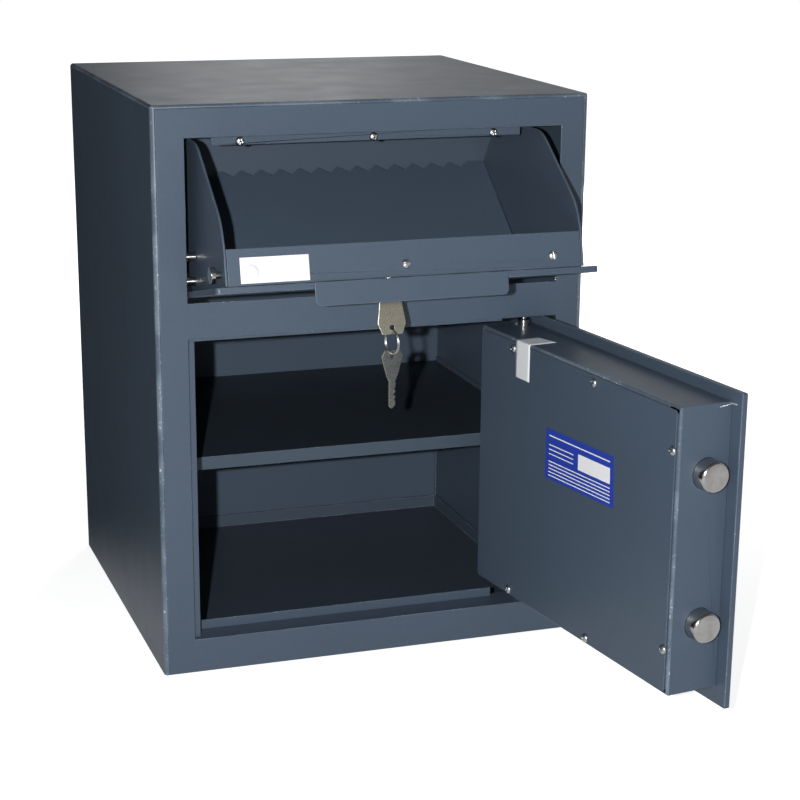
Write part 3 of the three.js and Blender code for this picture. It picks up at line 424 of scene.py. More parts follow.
# Printed vinyl label: flat glossy film over a plain print, with a faint paper cockle.
def labelFilm(name, setting):
    material, tree, at = newMaterial(name)
    fibre = noise(tree, at, setting["fibreSize"], detail=4)
    cockle = noise(tree, at, setting["cockleSize"])
    inputs = {
        "Base Color": mixColor(tree, fibre, linear(setting["color"]), linear(setting["shade"])),
        "Roughness": setting["rough"],
        "Normal": relief(tree, cockle, setting["cockle"], setting["cockleDepth"]),
    }
    return finishMaterial(material, tree, setting, inputs)


film = {"cockleSize": 14, "cockleDepth": 0.2, "cockle": 0.15, "rough": 0.38, "fibreSize": 3}
blueFilm = labelFilm("blueVinylLabel", {**film, "color": "#243c9f", "shade": "#2c46ad"})
whiteInk = labelFilm(
    "whiteLabelPrint",
    {**film, "color": "#f2f3f5", "shade": "#e4e6ea", "fibreSize": 1.2, "cockle": 0.05, "rough": 0.5},
)
paperStrip = labelFilm(
    "sealPaper",
    {**film, "color": "#e9ebec", "shade": "#cfd4d7", "fibreSize": 0.9, "cockle": 0.5, "rough": 0.7},
)

materialOf = {
    "body_paint": bodyCoat,
    "inside_paint": insideCoat,
    "bright_steel": boltSteel,
    "zinc_steel": zincPlate,
    "dark_steel": millSteel,
    "nickel": nickelPlate,
}
for name, node in nodes.items():
    node.material_slots[0].material = materialOf[slotOf[name]]
print("materials done")

# Sheet pieces: each is a copy of its solid with small rolled edges

rolling = {
    "merge": 0.005,  # points closer than this are one, in mm
    "flat": 0.02,  # faces that turn less than this from their neighbour share a patch, in radians
    "join": 0.004,  # the same for faces that are joined outright
    "crease": 32,  # edges sharper than this are rolled, in degrees
    "worn": 0.95,  # strips narrower than this share of the rolled edge can be worn and painted lighter as a highlight
    "broad": 1.6,  # patches wider than this many worn and highlit strips are flats
    "upwards": 0.8,  # faces that look up this much take the darker top coat, painted shade
}


def belongs(piece, body, slot, *replaced):
    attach(piece, body)
    if replaced:
        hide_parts(*replaced)


def addPiece(name, mesh, body, slot, material, *replaced):
    mesh.materials.clear()
    mesh.materials.append(material)
    belongs(placed(name, mesh), body, slot, *replaced)


def standIn(node, mesh):
    slot = slotOf[node]
    addPiece(node + "_shown", mesh, nodes[node]["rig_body"], slot, materialOf[slot], node)


def smoothed(mesh):
    for face in mesh.polygons:
        face.use_smooth = True
    return mesh


def shellOf(mesh):
    shell = bmesh.new()
    shell.from_mesh(mesh)
    shell.normal_update()
    return shell


def meshOf(shell, name):
    mesh = bpy.data.meshes.new(name)
    shell.to_mesh(mesh)
    shell.free()
    return mesh


def frozen(piece):
    graph = bpy.context.evaluated_depsgraph_get()
    mesh = bpy.data.meshes.new_from_object(piece.evaluated_get(graph))
    piece.modifiers.clear()
    piece.data = mesh
    return mesh


def mergedCopy(node, name):
    shell = shellOf(nodes[node].data)
    bmesh.ops.remove_doubles(shell, verts=shell.verts, dist=rolling["merge"] * mm)
    return meshOf(shell, name)


# Flat faces are taken together, so that only the real strips of a rounded edge count as narrow
def flatPatches(shell):
    patchOf = {}
    for first in shell.faces:
        if first in patchOf:
            continue
        patch = [first]
        patchOf[first] = patch
        for face in patch:
            for edge in face.edges:
                for other in edge.link_faces:
                    bend = face.normal.angle(other.normal, 0)
                    if other not in patchOf and bend < rolling["flat"]:
                        patchOf[other] = patch
                        patch.append(other)
    return [patch for face, patch in patchOf.items() if face is patch[0]]


def widthOf(patch):
    longest = max(edge.calc_length() for part in patch for edge in part.edges)
    return sum(part.calc_area() for part in patch) / longest


# Broad flats keep their own normal right up to their edge, so that slivers don't shade as lines
def settleFlats(mesh, width):
    shell = shellOf(mesh)
    broad = {}
    for patch in flatPatches(shell):
        if widthOf(patch) > width * mm:
            whole = sum((part.normal * part.calc_area() for part in patch), Vector()).normalized()
            broad.update({part.index: whole for part in patch})
    shell.free()
    normals = [Vector(corner.vector) for corner in mesh.corner_normals]
    for face in mesh.polygons:
        if face.index in broad:
            for corner in face.loop_indices:
                normals[corner] = broad[face.index]
    mesh.normals_split_custom_set(normals)


# Only points inside the narrow strips of a real bend count as worn, and there the coat is also painted
# lighter as a highlight
def markWearAndHighlight(mesh, width, turn):
    shell = shellOf(mesh)
    narrow = {}
    for patch in flatPatches(shell):
        slim = widthOf(patch) < width * mm
        narrow.update({part: slim for part in patch})
    marks = []
    for vertex in shell.verts:
        around = list(vertex.link_faces)
        crest = bool(around) and all(narrow[face] for face in around)
        if crest:
            bend = max(one.normal.angle(other.normal, 0) for one in around for other in around)
            crest = math.degrees(bend) > turn
        marks.append(float(crest))
    shell.free()
    layer = mesh.attributes.new("edgeWearAndHighlight", "FLOAT", "POINT")
    layer.data.foreach_set("value", marks)


def rolledPiece(node, edge, wearAndHighlightWidth=None, shadedTopMaterial=None, segments=2, turn=38, refit=None):
    mesh = mergedCopy(node, node + "_shown")
    if refit:
        refit(mesh)
    mesh.materials.append(materialOf[slotOf[node]])
    for face in smoothed(mesh).polygons:
        face.material_index = 0
    piece = placed(node + "_shown", mesh)
    bevel = piece.modifiers.new("rolledEdge", "BEVEL")
    bevel.width = edge * mm
    bevel.segments = segments
    bevel.limit_method = "ANGLE"
    bevel.angle_limit = math.radians(rolling["crease"])
    bevel.use_clamp_overlap = False
    bevel.harden_normals = True
    weigh = piece.modifiers.new("evenShading", "WEIGHTED_NORMAL")
    weigh.keep_sharp = True
    mesh = frozen(piece)
    wearAndHighlightWidth = wearAndHighlightWidth or edge * rolling["worn"]
    markWearAndHighlight(mesh, wearAndHighlightWidth, turn)
    settleFlats(mesh, wearAndHighlightWidth * rolling["broad"])
    # Faces that look up get the darker top coat: painted shade
    if shadedTopMaterial:
        mesh.materials.append(shadedTopMaterial)
        for face in mesh.polygons:
            face.material_index = int(face.normal.z > rolling["upwards"])
    belongs(piece, nodes[node]["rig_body"], slotOf[node], node)


# Coplanar triangles become one face, since slivers between holes and corners bevel badly
def joinedFlats(mesh):
    shell = shellOf(mesh)
    limit = rolling["join"]
    bmesh.ops.dissolve_limit(shell, angle_limit=limit, verts=shell.verts, edges=shell.edges)
    shell.to_mesh(mesh)
    shell.free()


tongue = {"edge": 425, "lowered": 419.5, "from": 100, "to": 152, "left": -154.9, "right": 151.9}


# The tongue of the baffle is taken out to the cheeks and its lower edge down to where their
# tails pass, so that no gap shows beside the notches
def widerTongue(mesh):
    for vertex in mesh.vertices:
        spot = vertex.co
        if abs(spot.z - tongue["edge"] * mm) < mm and abs(spot.x) > tongue["from"] * mm:
            spot.z = tongue["lowered"] * mm
        if tongue["from"] * mm < abs(spot.x) < tongue["to"] * mm and spot.z < (tongue["edge"] + 1) * mm:
            spot.x = tongue["right" if spot.x > 0 else "left"] * mm


sheets = {
    "shell_wrap": {"edge": 0.5, "wearAndHighlightWidth": 1.4, "turn": 13},
    "front_frame": {"edge": 0.7},
    "back_panel": {"edge": 0.6},
    "base_plate": {"edge": 0.8},
    "floor_pan": {"edge": 0.7, "shadedTopMaterial": panTopShadedCoat},
    "sill_lip": {"edge": 0.5},
    "door_stop_side": {"edge": 0.6},
    "door_stop_top": {"edge": 0.6},
    "shelf": {"edge": 0.6, "shadedTopMaterial": shelfTopShadedCoat},
    "shelf_rail_left": {"edge": 0.5},
    "shelf_rail_right": {"edge": 0.5},
    "baffle": {"edge": 0.5, "refit": widerTongue},
    "guard_strip": {"edge": 0.5},
    "tray_bracket_left": {"edge": 0.5},
    "tray_bracket_right": {"edge": 0.5},
    "tray_panel": {"edge": 0.9, "refit": joinedFlats},
    "tray_handle_flap": {"edge": 0.6},
    "tray_cheek_left": {"edge": 0.6, "refit": joinedFlats},
    "tray_cheek_right": {"edge": 0.6, "refit": joinedFlats},
    "tray_slide": {"edge": 0.35},
    "tray_lip": {"edge": 0.5},
    "tray_lock_cover": {"edge": 0.4},
    "door_plate": {"edge": 0.9, "refit": joinedFlats},
    "door_box": {"edge": 0.4, "wearAndHighlightWidth": 0.85, "turn": 13},
    "door_cover": {"edge": 0.3, "refit": joinedFlats},
    "door_handle": {"edge": 1.2, "segments": 3, "turn": 25},
    "keyhole_plate": {"edge": 0.3},
    "keyhole_cover": {"edge": 0.3},
    "side_bolt": {"edge": 0.5},
    "tray_lock_plug": {"edge": 0.25},
}
for node, setting in sheets.items():
    rolledPiece(node, **setting)
print("sheets done")

# Turned pieces: bolts, pins and the lock barrel


def shade(shell, sharpFrom):
    for face in shell.faces:
        face.smooth = True
    for edge in shell.edges:
        if len(edge.link_faces) == 2 and edge.calc_face_angle(0) > math.radians(sharpFrom):
            edge.smooth = False


def turnedPiece(name, profile, matrix, sides=96):
    shell = bmesh.new()
    rings = []
    line = shell.verts.layers.float.new("turnLine")
    run = 0
    before = None
    for radius, along in profile:
        if before is not None:
            run += math.hypot(radius - before[0], along - before[1])
        before = (radius, along)
        count = 1 if radius == 0 else sides
        ring = []
        for step in range(count):
            angle = 2 * math.pi * step / sides
            spot = Vector((math.cos(angle) * radius, math.sin(angle) * radius, along)) * mm
            vertex = shell.verts.new(matrix @ spot)
            vertex[line] = run
            ring.append(vertex)
        rings.append(ring)
    for low, high in zip(rings, rings[1:]):
        for step in range(sides):
            after = (step + 1) % sides
            if len(low) == 1:
                corners = (low[0], high[after], high[step])
            elif len(high) == 1:
                corners = (low[step], low[after], high[0])
            else:
                corners = (low[step], low[after], high[after], high[step])
            shell.faces.new(corners)
    if len(rings[0]) > 1:
        bmesh.ops.bridge_loops(shell, edges=[e for e in shell.edges if e.is_boundary])
    bmesh.ops.recalc_face_normals(shell, faces=shell.faces)
    shade(shell, sharpFrom=40)
    return meshOf(shell, name)


# Both turning pieces are stored open, and their sizes are given as they are when shut
door = {"open": math.radians(97.7), "hingeX": 147.5, "hingeDepth": 20}
tray = {
    "open": math.radians(77),
    "pivot": Vector((0, 15 + frontY, 350)),
    "lockX": -10.4,
    "lockRise": 79,
    "keyEnd": -55.2,
}


def toDoor(x, y, z):
    hinge = Vector((door["hingeX"], door["hingeDepth"], 0))
    away = Matrix.Rotation(door["open"], 3, "Z") @ (Vector((x, y, z)) - hinge)
    return away + hinge + Vector((0, frontY, 0))


def toTray(x, depth, rise):
    return Matrix.Rotation(tray["open"], 3, "X") @ Vector((x, depth, rise)) + tray["pivot"]


def along(start, end):
    start, end = Vector(start), Vector(end)
    turn = (end - start).to_track_quat("Z", "Y").to_matrix().to_4x4()
    return Matrix.Translation(start * mm) @ turn


doorBolt = {
    "radius": 13,
    "length": 54,
    "chamfer": 1.6,
    "tipX": -166.2,
    "depth": 26.5,
    "heights": (234.49, 108.69),
}
radius, length, chamfer = doorBolt["radius"], doorBolt["length"], doorBolt["chamfer"]
# The chamfer at the tip has its two edges rounded over a few tenths of a millimetre
profile = [
    (0, 0),
    (radius - chamfer - 0.4, 0),
    (radius - chamfer, 0.12),
    (radius - 0.25, chamfer - 0.15),
    (radius, chamfer + 0.4),
    (radius, length - 0.6),
    (radius - 0.6, length),
    (0, length),
]
for name, height in zip(("door_bolt_upper", "door_bolt_lower"), doorBolt["heights"]):
    start = toDoor(doorBolt["tipX"], doorBolt["depth"], height)
    end = toDoor(doorBolt["tipX"] + length, doorBolt["depth"], height)
    standIn(name, turnedPiece(name + "_shown", profile, along(start, end)))

hingePin = {
    "radius": 3.5,
    "rounding": 0.3,
    "spans": {"hinge_pin_upper": (286, 303), "hinge_pin_lower": (31, 55.5)},
}
hingeAt = (door["hingeX"], door["hingeDepth"] + frontY)
radius, rounding = hingePin["radius"], hingePin["rounding"]
for name, (low, high) in hingePin["spans"].items():
    length = high - low
    profile = [(0, 0), (radius - rounding, 0), (radius, rounding), (radius, length - rounding)]
    profile += [(radius - rounding, length), (0, length)]
    axis = along((*hingeAt, low), (*hingeAt, high))
    standIn(name, turnedPiece(name + "_shown", profile, axis, sides=48))

bush = {"inner": 3.8, "outer": 5.6, "foot": 291.05, "top": 297.6, "rounding": 0.8}
profile = [
    (bush["inner"], bush["foot"]),
    (bush["outer"], bush["foot"]),
    (bush["outer"], bush["top"] - bush["rounding"]),
    (bush["outer"] - bush["rounding"], bush["top"]),
    (bush["inner"], bush["top"]),
]
mesh = turnedPiece("hinge_bush", profile, along((*hingeAt, 0), (*hingeAt, 1)), sides=64)
addPiece("hinge_bush", mesh, "door", "bright_steel", boltSteel)


# Pins through the cheeks, read from their solids; a headed one carries its head on the outside
def crossPin(node, head=None):
    low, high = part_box(node)
    middle = (low + high) / 2 / mm
    radius = head["shank"] if head else (high.z - low.z) / 2 / mm
    side = 1 if middle.x > 0 else -1
    inner, outer = sorted((low.x / mm, high.x / mm), key=abs)
    length = abs(outer - inner)
    rounding = 0.6
    profile = [(0, 0), (radius - rounding, 0), (radius, rounding)]
    if head:
        full = head["radius"]
        neck = length - head["length"]
        profile += [(radius, neck), (full - 0.2, neck), (full, neck + 0.2)]
        profile += [(full, length - 0.9), (full - 1.0, length - 0.12), (full - 2.4, length), (0, length)]
    else:
        profile += [(radius, length - rounding), (radius - rounding, length), (0, length)]
    start = Vector((inner, middle.y, middle.z))
    end = start + Vector((side, 0, 0))
    standIn(node, turnedPiece(node + "_shown", profile, along(start, end), sides=64))


pivotHead = {"radius": 6.5, "length": 2.0, "shank": 4.0}
for end in ("left", "right"):
    crossPin(f"pivot_pin_{end}", pivotHead)
    crossPin(f"tray_travel_pin_{end}")

barrel = {"bore": 5.7, "flange": 13, "body": 10, "front": -16.5, "back": -14.3, "end": -1.0}
profile = [
    (barrel["bore"], barrel["front"] + 0.5),
    (barrel["bore"] + 0.5, barrel["front"]),
    (barrel["flange"] - 1.1, barrel["front"]),
    (barrel["flange"] - 0.3, barrel["front"] + 0.35),
    (barrel["flange"], barrel["front"] + 1.1),
    (barrel["flange"], barrel["back"]),
    (barrel["body"], barrel["back"]),
    (barrel["body"], barrel["end"]),
    (barrel["bore"], barrel["end"]),
]
lockAxis = along(toTray(tray["lockX"], 0, tray["lockRise"]), toTray(tray["lockX"], 1, tray["lockRise"]))
standIn("tray_lock_barrel", turnedPiece("tray_lock_barrel_shown", profile, lockAxis, sides=72))
print("turned pieces done")

# Screws: one tree makes a domed head with a slot or a cross and sets it on every point

screwSize = {
    "Head diameter": 8,
    "Head rise": 2.4,
    "Slot width": 1.1,
    "Slot depth": 1.1,
    "Shank diameter": 3.2,
    "Shank length": 5,
}


def newGroup(name, source, sizes, seed, result):
    tree = bpy.data.node_groups.new(name, "GeometryNodeTree")
    face = tree.interface
    face.new_socket(source, in_out="INPUT", socket_type="NodeSocketGeometry")
    for label in sizes:
        face.new_socket(label, in_out="INPUT", socket_type="NodeSocketFloat")
    face.new_socket(seed, in_out="INPUT", socket_type="NodeSocketInt")
    face.new_socket(result, in_out="OUTPUT", socket_type="NodeSocketGeometry")
    return tree, addNode(tree, "NodeGroupInput").outputs


def finishGroup(tree, instances, material):
    real = addNode(tree, "GeometryNodeRealizeInstances", {0: instances.outputs[0]})
    coated = addNode(tree, "GeometryNodeSetMaterial", {0: real.outputs[0], "Material": material})
    addNode(tree, "NodeGroupOutput", {0: coated.outputs[0]})
    return tree


def joined(tree, **parts):
    return addNode(tree, "ShaderNodeCombineXYZ", parts).outputs[0]


def moved(tree, shape, **change):
    return addNode(tree, "GeometryNodeTransform", {0: shape, **change}).outputs[0]


def screwTree(name, material, cross):
    tree, given = newGroup(name, "Points", screwSize, "Turn seed", "Screws")
    half = reckon(tree, "MULTIPLY", given["Head diameter"], 0.5)
    ball = addNode(tree, "GeometryNodeMeshUVSphere", {"Segments": 32, "Rings": 16, "Radius": 1.0})
    where = addNode(tree, "GeometryNodeInputPosition").outputs[0]
    parts = addNode(tree, "ShaderNodeSeparateXYZ", {0: where}).outputs
    lifted = joined(tree, X=parts["X"], Y=parts["Y"], Z=reckon(tree, "MAXIMUM", parts["Z"], 0.0))
    dome = addNode(tree, "GeometryNodeSetPosition", {0: ball.outputs[0], "Position": lifted})
    merged = addNode(tree, "GeometryNodeMergeByDistance", {0: dome.outputs[0], "Distance": 0.001})
    head = moved(tree, merged.outputs[0], Scale=joined(tree, X=half, Y=half, Z=given["Head rise"]))
    deep = reckon(tree, "MULTIPLY", given["Slot depth"], 2.0)
    top = joined(tree, Z=given["Head rise"])
    # A slot runs right across the head, a cross stays within it
    reach = reckon(tree, "MULTIPLY", given["Head diameter"], 0.62 if cross else 1.4)
    width = given["Slot width"]
    for x, y in ((reach, width), (width, reach))[: 2 if cross else 1]:
        cube = addNode(tree, "GeometryNodeMeshCube", {"Size": joined(tree, X=x, Y=y, Z=deep)})
        inputs = {0: head, 1: moved(tree, cube.outputs[0], Translation=top)}
        head = addNode(tree, "GeometryNodeMeshBoolean", inputs, operation="DIFFERENCE").outputs[0]
    inputs = {
        "Vertices": 16,
        "Radius": reckon(tree, "MULTIPLY", given["Shank diameter"], 0.5),
        "Depth": given["Shank length"],
    }
    shank = addNode(tree, "GeometryNodeMeshCylinder", inputs).outputs[0]
    # The shank starts just under the head
    down = reckon(tree, "MULTIPLY", given["Shank length"], -0.51)
    screw = addNode(tree, "GeometryNodeJoinGeometry", {0: head})
    tree.links.new(moved(tree, shank, Translation=joined(tree, Z=down)), screw.inputs[0])
    inputs = {"Name": "screwAim"}
    aim = addNode(tree, "GeometryNodeInputNamedAttribute", inputs, data_type="FLOAT_VECTOR").outputs[0]
    inputs = {"Points": given["Points"], "Instance": screw.outputs[0], "Rotation": aim}
    stood = addNode(tree, "GeometryNodeInstanceOnPoints", inputs)
    inputs = {2: 0.0, 3: math.pi, "Seed": given["Turn seed"]}
    anyTurn = addNode(tree, "FunctionNodeRandomValue", inputs, data_type="FLOAT").outputs[1]
    inputs = {"Instances": stood.outputs[0], "Rotation": joined(tree, Z=anyTurn), "Local Space": True}
    return finishGroup(tree, addNode(tree, "GeometryNodeRotateInstances", inputs), material)


def grown(name, mesh, tree, values):
    piece = placed(name, mesh)
    modifier = piece.modifiers.new("grown", "NODES")
    modifier.node_group = tree
    for item in tree.interface.items_tree:
        if item.item_type == "SOCKET" and item.in_out == "INPUT" and item.name in values:
            modifier[item.identifier] = values[item.name]
    smoothed(frozen(piece))
    return piece


def screwRow(name, body, places, aim, tree, seed, replaced):
    mesh = bpy.data.meshes.new(name)
    mesh.from_pydata([place * mm for place in places], [], [])
    layer = mesh.attributes.new("screwAim", "FLOAT_VECTOR", "POINT")
    layer.data.foreach_set("vector", [value for _ in places for value in aim])
    values = {label: size * mm for label, size in screwSize.items()}
    piece = grown(name, mesh, tree, {**values, "Turn seed": seed})
    piece.data.set_sharp_from_angle(angle=math.radians(35))
    belongs(piece, body, "zinc_steel", *replaced)


crossTree = screwTree("crossHeadScrews", zincPlate, True)
slotTree = screwTree("slottedScrews", zincPlate, False)
stripScrews = {"depth": 19.7, "z": 465.8, "x": (-114.8, 3.3, 113.6)}
screwRow(
    "strip_screws_shown",
    "cabinet",
    [Vector((x, stripScrews["depth"] + frontY, stripScrews["z"])) for x in stripScrews["x"]],
    (math.radians(90), 0, 0),
    crossTree,
    seed=3,
    replaced=["strip_screw_1", "strip_screw_2", "strip_screw_3"],
)
lipScrews = {"depth": 1.8, "rise": 109.3, "x": (-135.6, -4.6, 125.7)}
screwRow(
    "lip_screws_shown",
    "tray",
    [toTray(x, lipScrews["depth"], lipScrews["rise"]) for x in lipScrews["x"]],
    (tray["open"], 0, 0),
    slotTree,
    seed=5,
    replaced=["lip_screw_1", "lip_screw_2", "lip_screw_3"],
)
coverScrews = {
    "depth": 55.9,
    "at": [(103.0, 282.4), (-30.0, 282.4), (-147.1, 255.4), (-147.1, 89.5), (-30.9, 57.2), (101.7, 57.2)],
}
screwRow(
    "cover_screws_shown",
    "door",
    [toDoor(x, coverScrews["depth"], z) for x, z in coverScrews["at"]],
    (math.radians(90), 0, door["open"] + math.pi),
    crossTree,
    seed=8,
    replaced=[f"cover_screw_{index}" for index in range(1, 7)],
)
print("screws done")

# Keys on a split ring: the plates are stamped from sheet, so they get a flat face and a soft rim

keyPlate = {
    "hole": 2.1,
    "holeInset": 5.7,
    "holeSides": 40,
    "sheet": 2.0,
    "rim": 0.3,
    "toothHalf": 1.7,
    "tipCut": 2.4,
}
keyShape = {
    "bow": 12.25,
    "cutAcross": 3.3,
    "cutUp": 8.7,
    "wideTo": 9.4,
    "shoulder": 9.75,
    "taperTo": 27.0,
    "bowLength": 29.0,
    "neck": 5.0,
    "length": 37.8,
    "blade": 4.1,
    "bladeLength": 8.4,
}


# The outline is in millimetres, with the end of the bow at the origin and the blade upwards
def keyOutline(shape, notches=()):
    blade, neck, bow, collar = shape["blade"], shape["neck"], shape["bow"], shape["length"]
    end = collar + shape["bladeLength"]
    side = [
        (bow - shape["cutAcross"], 0),
        (bow, shape["cutUp"]),
        (bow, shape["wideTo"]),
        (shape["shoulder"], shape["taperTo"]),
        (neck, shape["bowLength"]),
        (neck, collar),
        (blade, collar),
    ]
    toothHalf, tipCut = keyPlate["toothHalf"], keyPlate["tipCut"]
    teeth = []
    for place, depth in notches:
        middle = collar + place
        teeth += [(blade, middle - toothHalf), (blade - depth, middle), (blade, middle + toothHalf)]
    tip = [(blade, end - tipCut), (blade - tipCut, end)]
    return side + teeth + tip + [(-x, y) for x, y in reversed(side + tip)]


def drawnMesh(name, curve, sharpFrom=180, matrix=Matrix()):
    drawn = placed(name, curve)
    graph = bpy.context.evaluated_depsgraph_get()
    mesh = bpy.data.meshes.new_from_object(drawn.evaluated_get(graph))
    bpy.data.objects.remove(drawn)
    shell = shellOf(mesh)
    bmesh.ops.remove_doubles(shell, verts=shell.verts, dist=0.002 * mm)
    bmesh.ops.recalc_face_normals(shell, faces=shell.faces)
    shell.transform(matrix)
    shade(shell, sharpFrom)
    return meshOf(shell, name)


def stampedKey(name, outline, matrix):
    curve = bpy.data.curves.new(name, "CURVE")
    curve.dimensions = "2D"
    curve.fill_mode = "BOTH"
    sides = keyPlate["holeSides"]
    turns = [2 * math.pi * step / sides for step in range(sides)]
    radius, inset, rim = keyPlate["hole"], keyPlate["holeInset"], keyPlate["rim"]
    hole = [(radius * math.cos(turn), inset + radius * math.sin(turn)) for turn in turns]
    for ring in (outline, hole):
        spline = curve.splines.new("POLY")
        spline.points.add(len(ring) - 1)
        spline.use_cyclic_u = True
        for spot, (x, y) in zip(spline.points, ring):
            spot.co = (x * mm, y * mm, 0, 1)
    curve.extrude = (keyPlate["sheet"] / 2 - rim) * mm
    curve.bevel_depth = rim * mm
    curve.bevel_resolution = 2
    curve.offset = -rim * mm
    return drawnMesh(name, curve, sharpFrom=10, matrix=matrix)


keyEnd = toTray(tray["lockX"], tray["keyEnd"], tray["lockRise"])
inLock = Matrix.Translation(keyEnd * mm) @ Matrix.Rotation(tray["open"], 4, "X")
standIn("tray_key", stampedKey("tray_key_shown", keyOutline(keyShape), inLock))

keyRing = {
    "middle": (-10.4, -258.3, 307.3),
    "radius": 10.4,
    "wire": 0.55,
    "turns": 1.93,
    "way": (-0.25, 0.968, 0),
    "start": 0.6,
    "pitch": 2.1,
}
ringWay = Vector(keyRing["way"]).normalized()
ringSide = ringWay.cross(Vector((0, 0, 1)))
ringCurve = bpy.data.curves.new("splitRing", "CURVE")
ringCurve.dimensions = "3D"
ringCurve.bevel_depth = keyRing["wire"] * mm
ringCurve.bevel_resolution = 4
ringCurve.use_fill_caps = True
spline = ringCurve.splines.new("POLY")
ringSteps = 128
spline.points.add(ringSteps)
for step, spot in enumerate(spline.points):
    share = step / ringSteps
    angle = 2 * math.pi * keyRing["turns"] * share + keyRing["start"]
    sideStep = (share - 0.5) * keyRing["wire"] * keyRing["pitch"] * keyRing["turns"]
    place = Vector(keyRing["middle"])
    place += (ringWay * math.cos(angle) + Vector((0, 0, math.sin(angle)))) * keyRing["radius"]
    place += ringSide * sideStep
    spot.co = (*(place * mm), 1)
addPiece("key_ring", drawnMesh("splitRing", ringCurve), "tray_lock", "zinc_steel", zincPlate)

spareKey = {"top": 300.4, "notches": [(8.0, 1.2), (12.4, 1.9), (17.0, 1.0)]}
spareShape = {
    "bow": 10.5,
    "cutAcross": 3.0,
    "cutUp": 5.0,
    "wideTo": 6.6,
    "shoulder": 5.3,
    "taperTo": 23.0,
    "bowLength": 23.8,
    "neck": 4.3,
    "length": 26.0,
    "blade": 3.3,
    "bladeLength": 24.5,
}
down = Vector((0, 0, -1))
spareWay = Vector((ringWay.y, -ringWay.x, 0))
spareTop = point((keyRing["middle"][0], keyRing["middle"][1], spareKey["top"]))
hanging = Matrix.Translation(spareTop) @ turnOf(spareWay, down, spareWay.cross(down))
mesh = stampedKey("spare_key", keyOutline(spareShape, spareKey["notches"]), hanging)
addPiece("spare_key", mesh, "tray_lock", "nickel", nickelPlate)
print("keys done")

# Stickers and the paper seal, all bare or with a plain generic form


def sheetMesh(name, rows):
    shell = bmesh.new()
    grid = [[shell.verts.new(spot * mm) for spot in row] for row in rows]
    for low, high in zip(grid, grid[1:]):
        for i in range(len(low) - 1):
            shell.faces.new((low[i], low[i + 1], high[i + 1], high[i]))
    return meshOf(shell, name)


def evenRows(spotAt, across, up):
    return [[spotAt(i / across, j / up) for i in range(across + 1)] for j in range(up + 1)]


def addFilm(name, mesh, body, thickness, *materials):
    for material in materials:
        mesh.materials.append(material)
    piece = placed(name, mesh)
    wall = piece.modifiers.new("film", "SOLIDIFY")
    wall.thickness = thickness * mm
    wall.offset = 0
    frozen(piece)
    belongs(piece, body, "body_paint")


# The sticker lies on the lip and is domed where it covers the first screw
lipSticker = {
    "left": -144.3,
    "right": -86.9,
    "low": -6.7,
    "high": 14.2,
    "rise": 109.15,
    "thickness": 0.14,
    "dome": 2.7,
    "reach": 6.6,
    "fullness": 0.6,
}


def stickerSpot(across, up):
    x = lipSticker["left"] + (lipSticker["right"] - lipSticker["left"]) * across
    depth = lipSticker["low"] + (lipSticker["high"] - lipSticker["low"]) * up
    far = math.hypot(x - lipScrews["x"][0], depth - lipScrews["depth"])
    share = max(0.0, 1 - (far / lipSticker["reach"]) ** 2)
    lift = lipSticker["dome"] * share ** lipSticker["fullness"]
    return toTray(x, depth, lipSticker["rise"] + lift)


mesh = smoothed(sheetMesh("lip_sticker", evenRows(stickerSpot, across=72, up=30)))
addFilm("lip_sticker", mesh, "tray", lipSticker["thickness"], whiteInk)

# The label's columns and rows: thin rows are white rules, and one field is white
blueLabel = {
    "corners": [(-66.3, 184.0), (43.3, 180.7), (43.0, 225.6), (-64.3, 228.0)],
    "depth": 55.72,
    "thickness": 0.16,
    "across": [0, 0.05, 0.42, 0.49, 0.95, 1],
    "up": [0, 0.07, 0.09, 0.14, 0.16, 0.21, 0.23, 0.28, 0.3, 0.35, 0.37, 0.44]
    + [0.5, 0.52, 0.59, 0.61, 0.68, 0.7, 0.75, 0.86, 0.885, 1],
    "field": (0.49, 0.95, 0.44, 0.75),
    "rules": (0.05, 0.95),
    "shortRules": (0.42, 0.4, 0.8),
    "thin": 0.03,
}
rightLow, leftLow, leftHigh, rightHigh = (Vector(corner) for corner in blueLabel["corners"])


def labelSpot(across, up):
    spot = leftLow.lerp(rightLow, across).lerp(leftHigh.lerp(rightHigh, across), up)
    return toDoor(spot.x, blueLabel["depth"], spot.y)


def isWhite(start, end, low, high):
    left, right, foot, top = blueLabel["field"]
    field = start >= left and end <= right and low >= foot and high <= top
    ruleStart, ruleEnd = blueLabel["rules"]
    shortEnd, shortFrom, shortTo = blueLabel["shortRules"]
    if shortFrom < low < shortTo:
        ruleEnd = shortEnd
    return field or (start >= ruleStart and end <= ruleEnd and high - low < blueLabel["thin"])


columns, rows = blueLabel["across"], blueLabel["up"]
mesh = sheetMesh("blue_label", [[labelSpot(across, up) for across in columns] for up in rows])
cells = [(*ends, *levels) for levels in zip(rows, rows[1:]) for ends in zip(columns, columns[1:])]
for face, cell in zip(mesh.polygons, cells):
    face.material_index = int(isWhite(*cell))
addFilm("blue_label", mesh, "door", blueLabel["thickness"], blueFilm, whiteInk)

# The seal hangs on the cover's face and is folded back over the top of the door box
seal = {
    "left": 74.5,
    "right": 99.5,
    "low": 258.0,
    "face": 55.78,
    "top": 291.35,
    "back": 29.0,
    "skew": 5.0,
    "bend": 1.2,
    "thickness": 0.12,
}


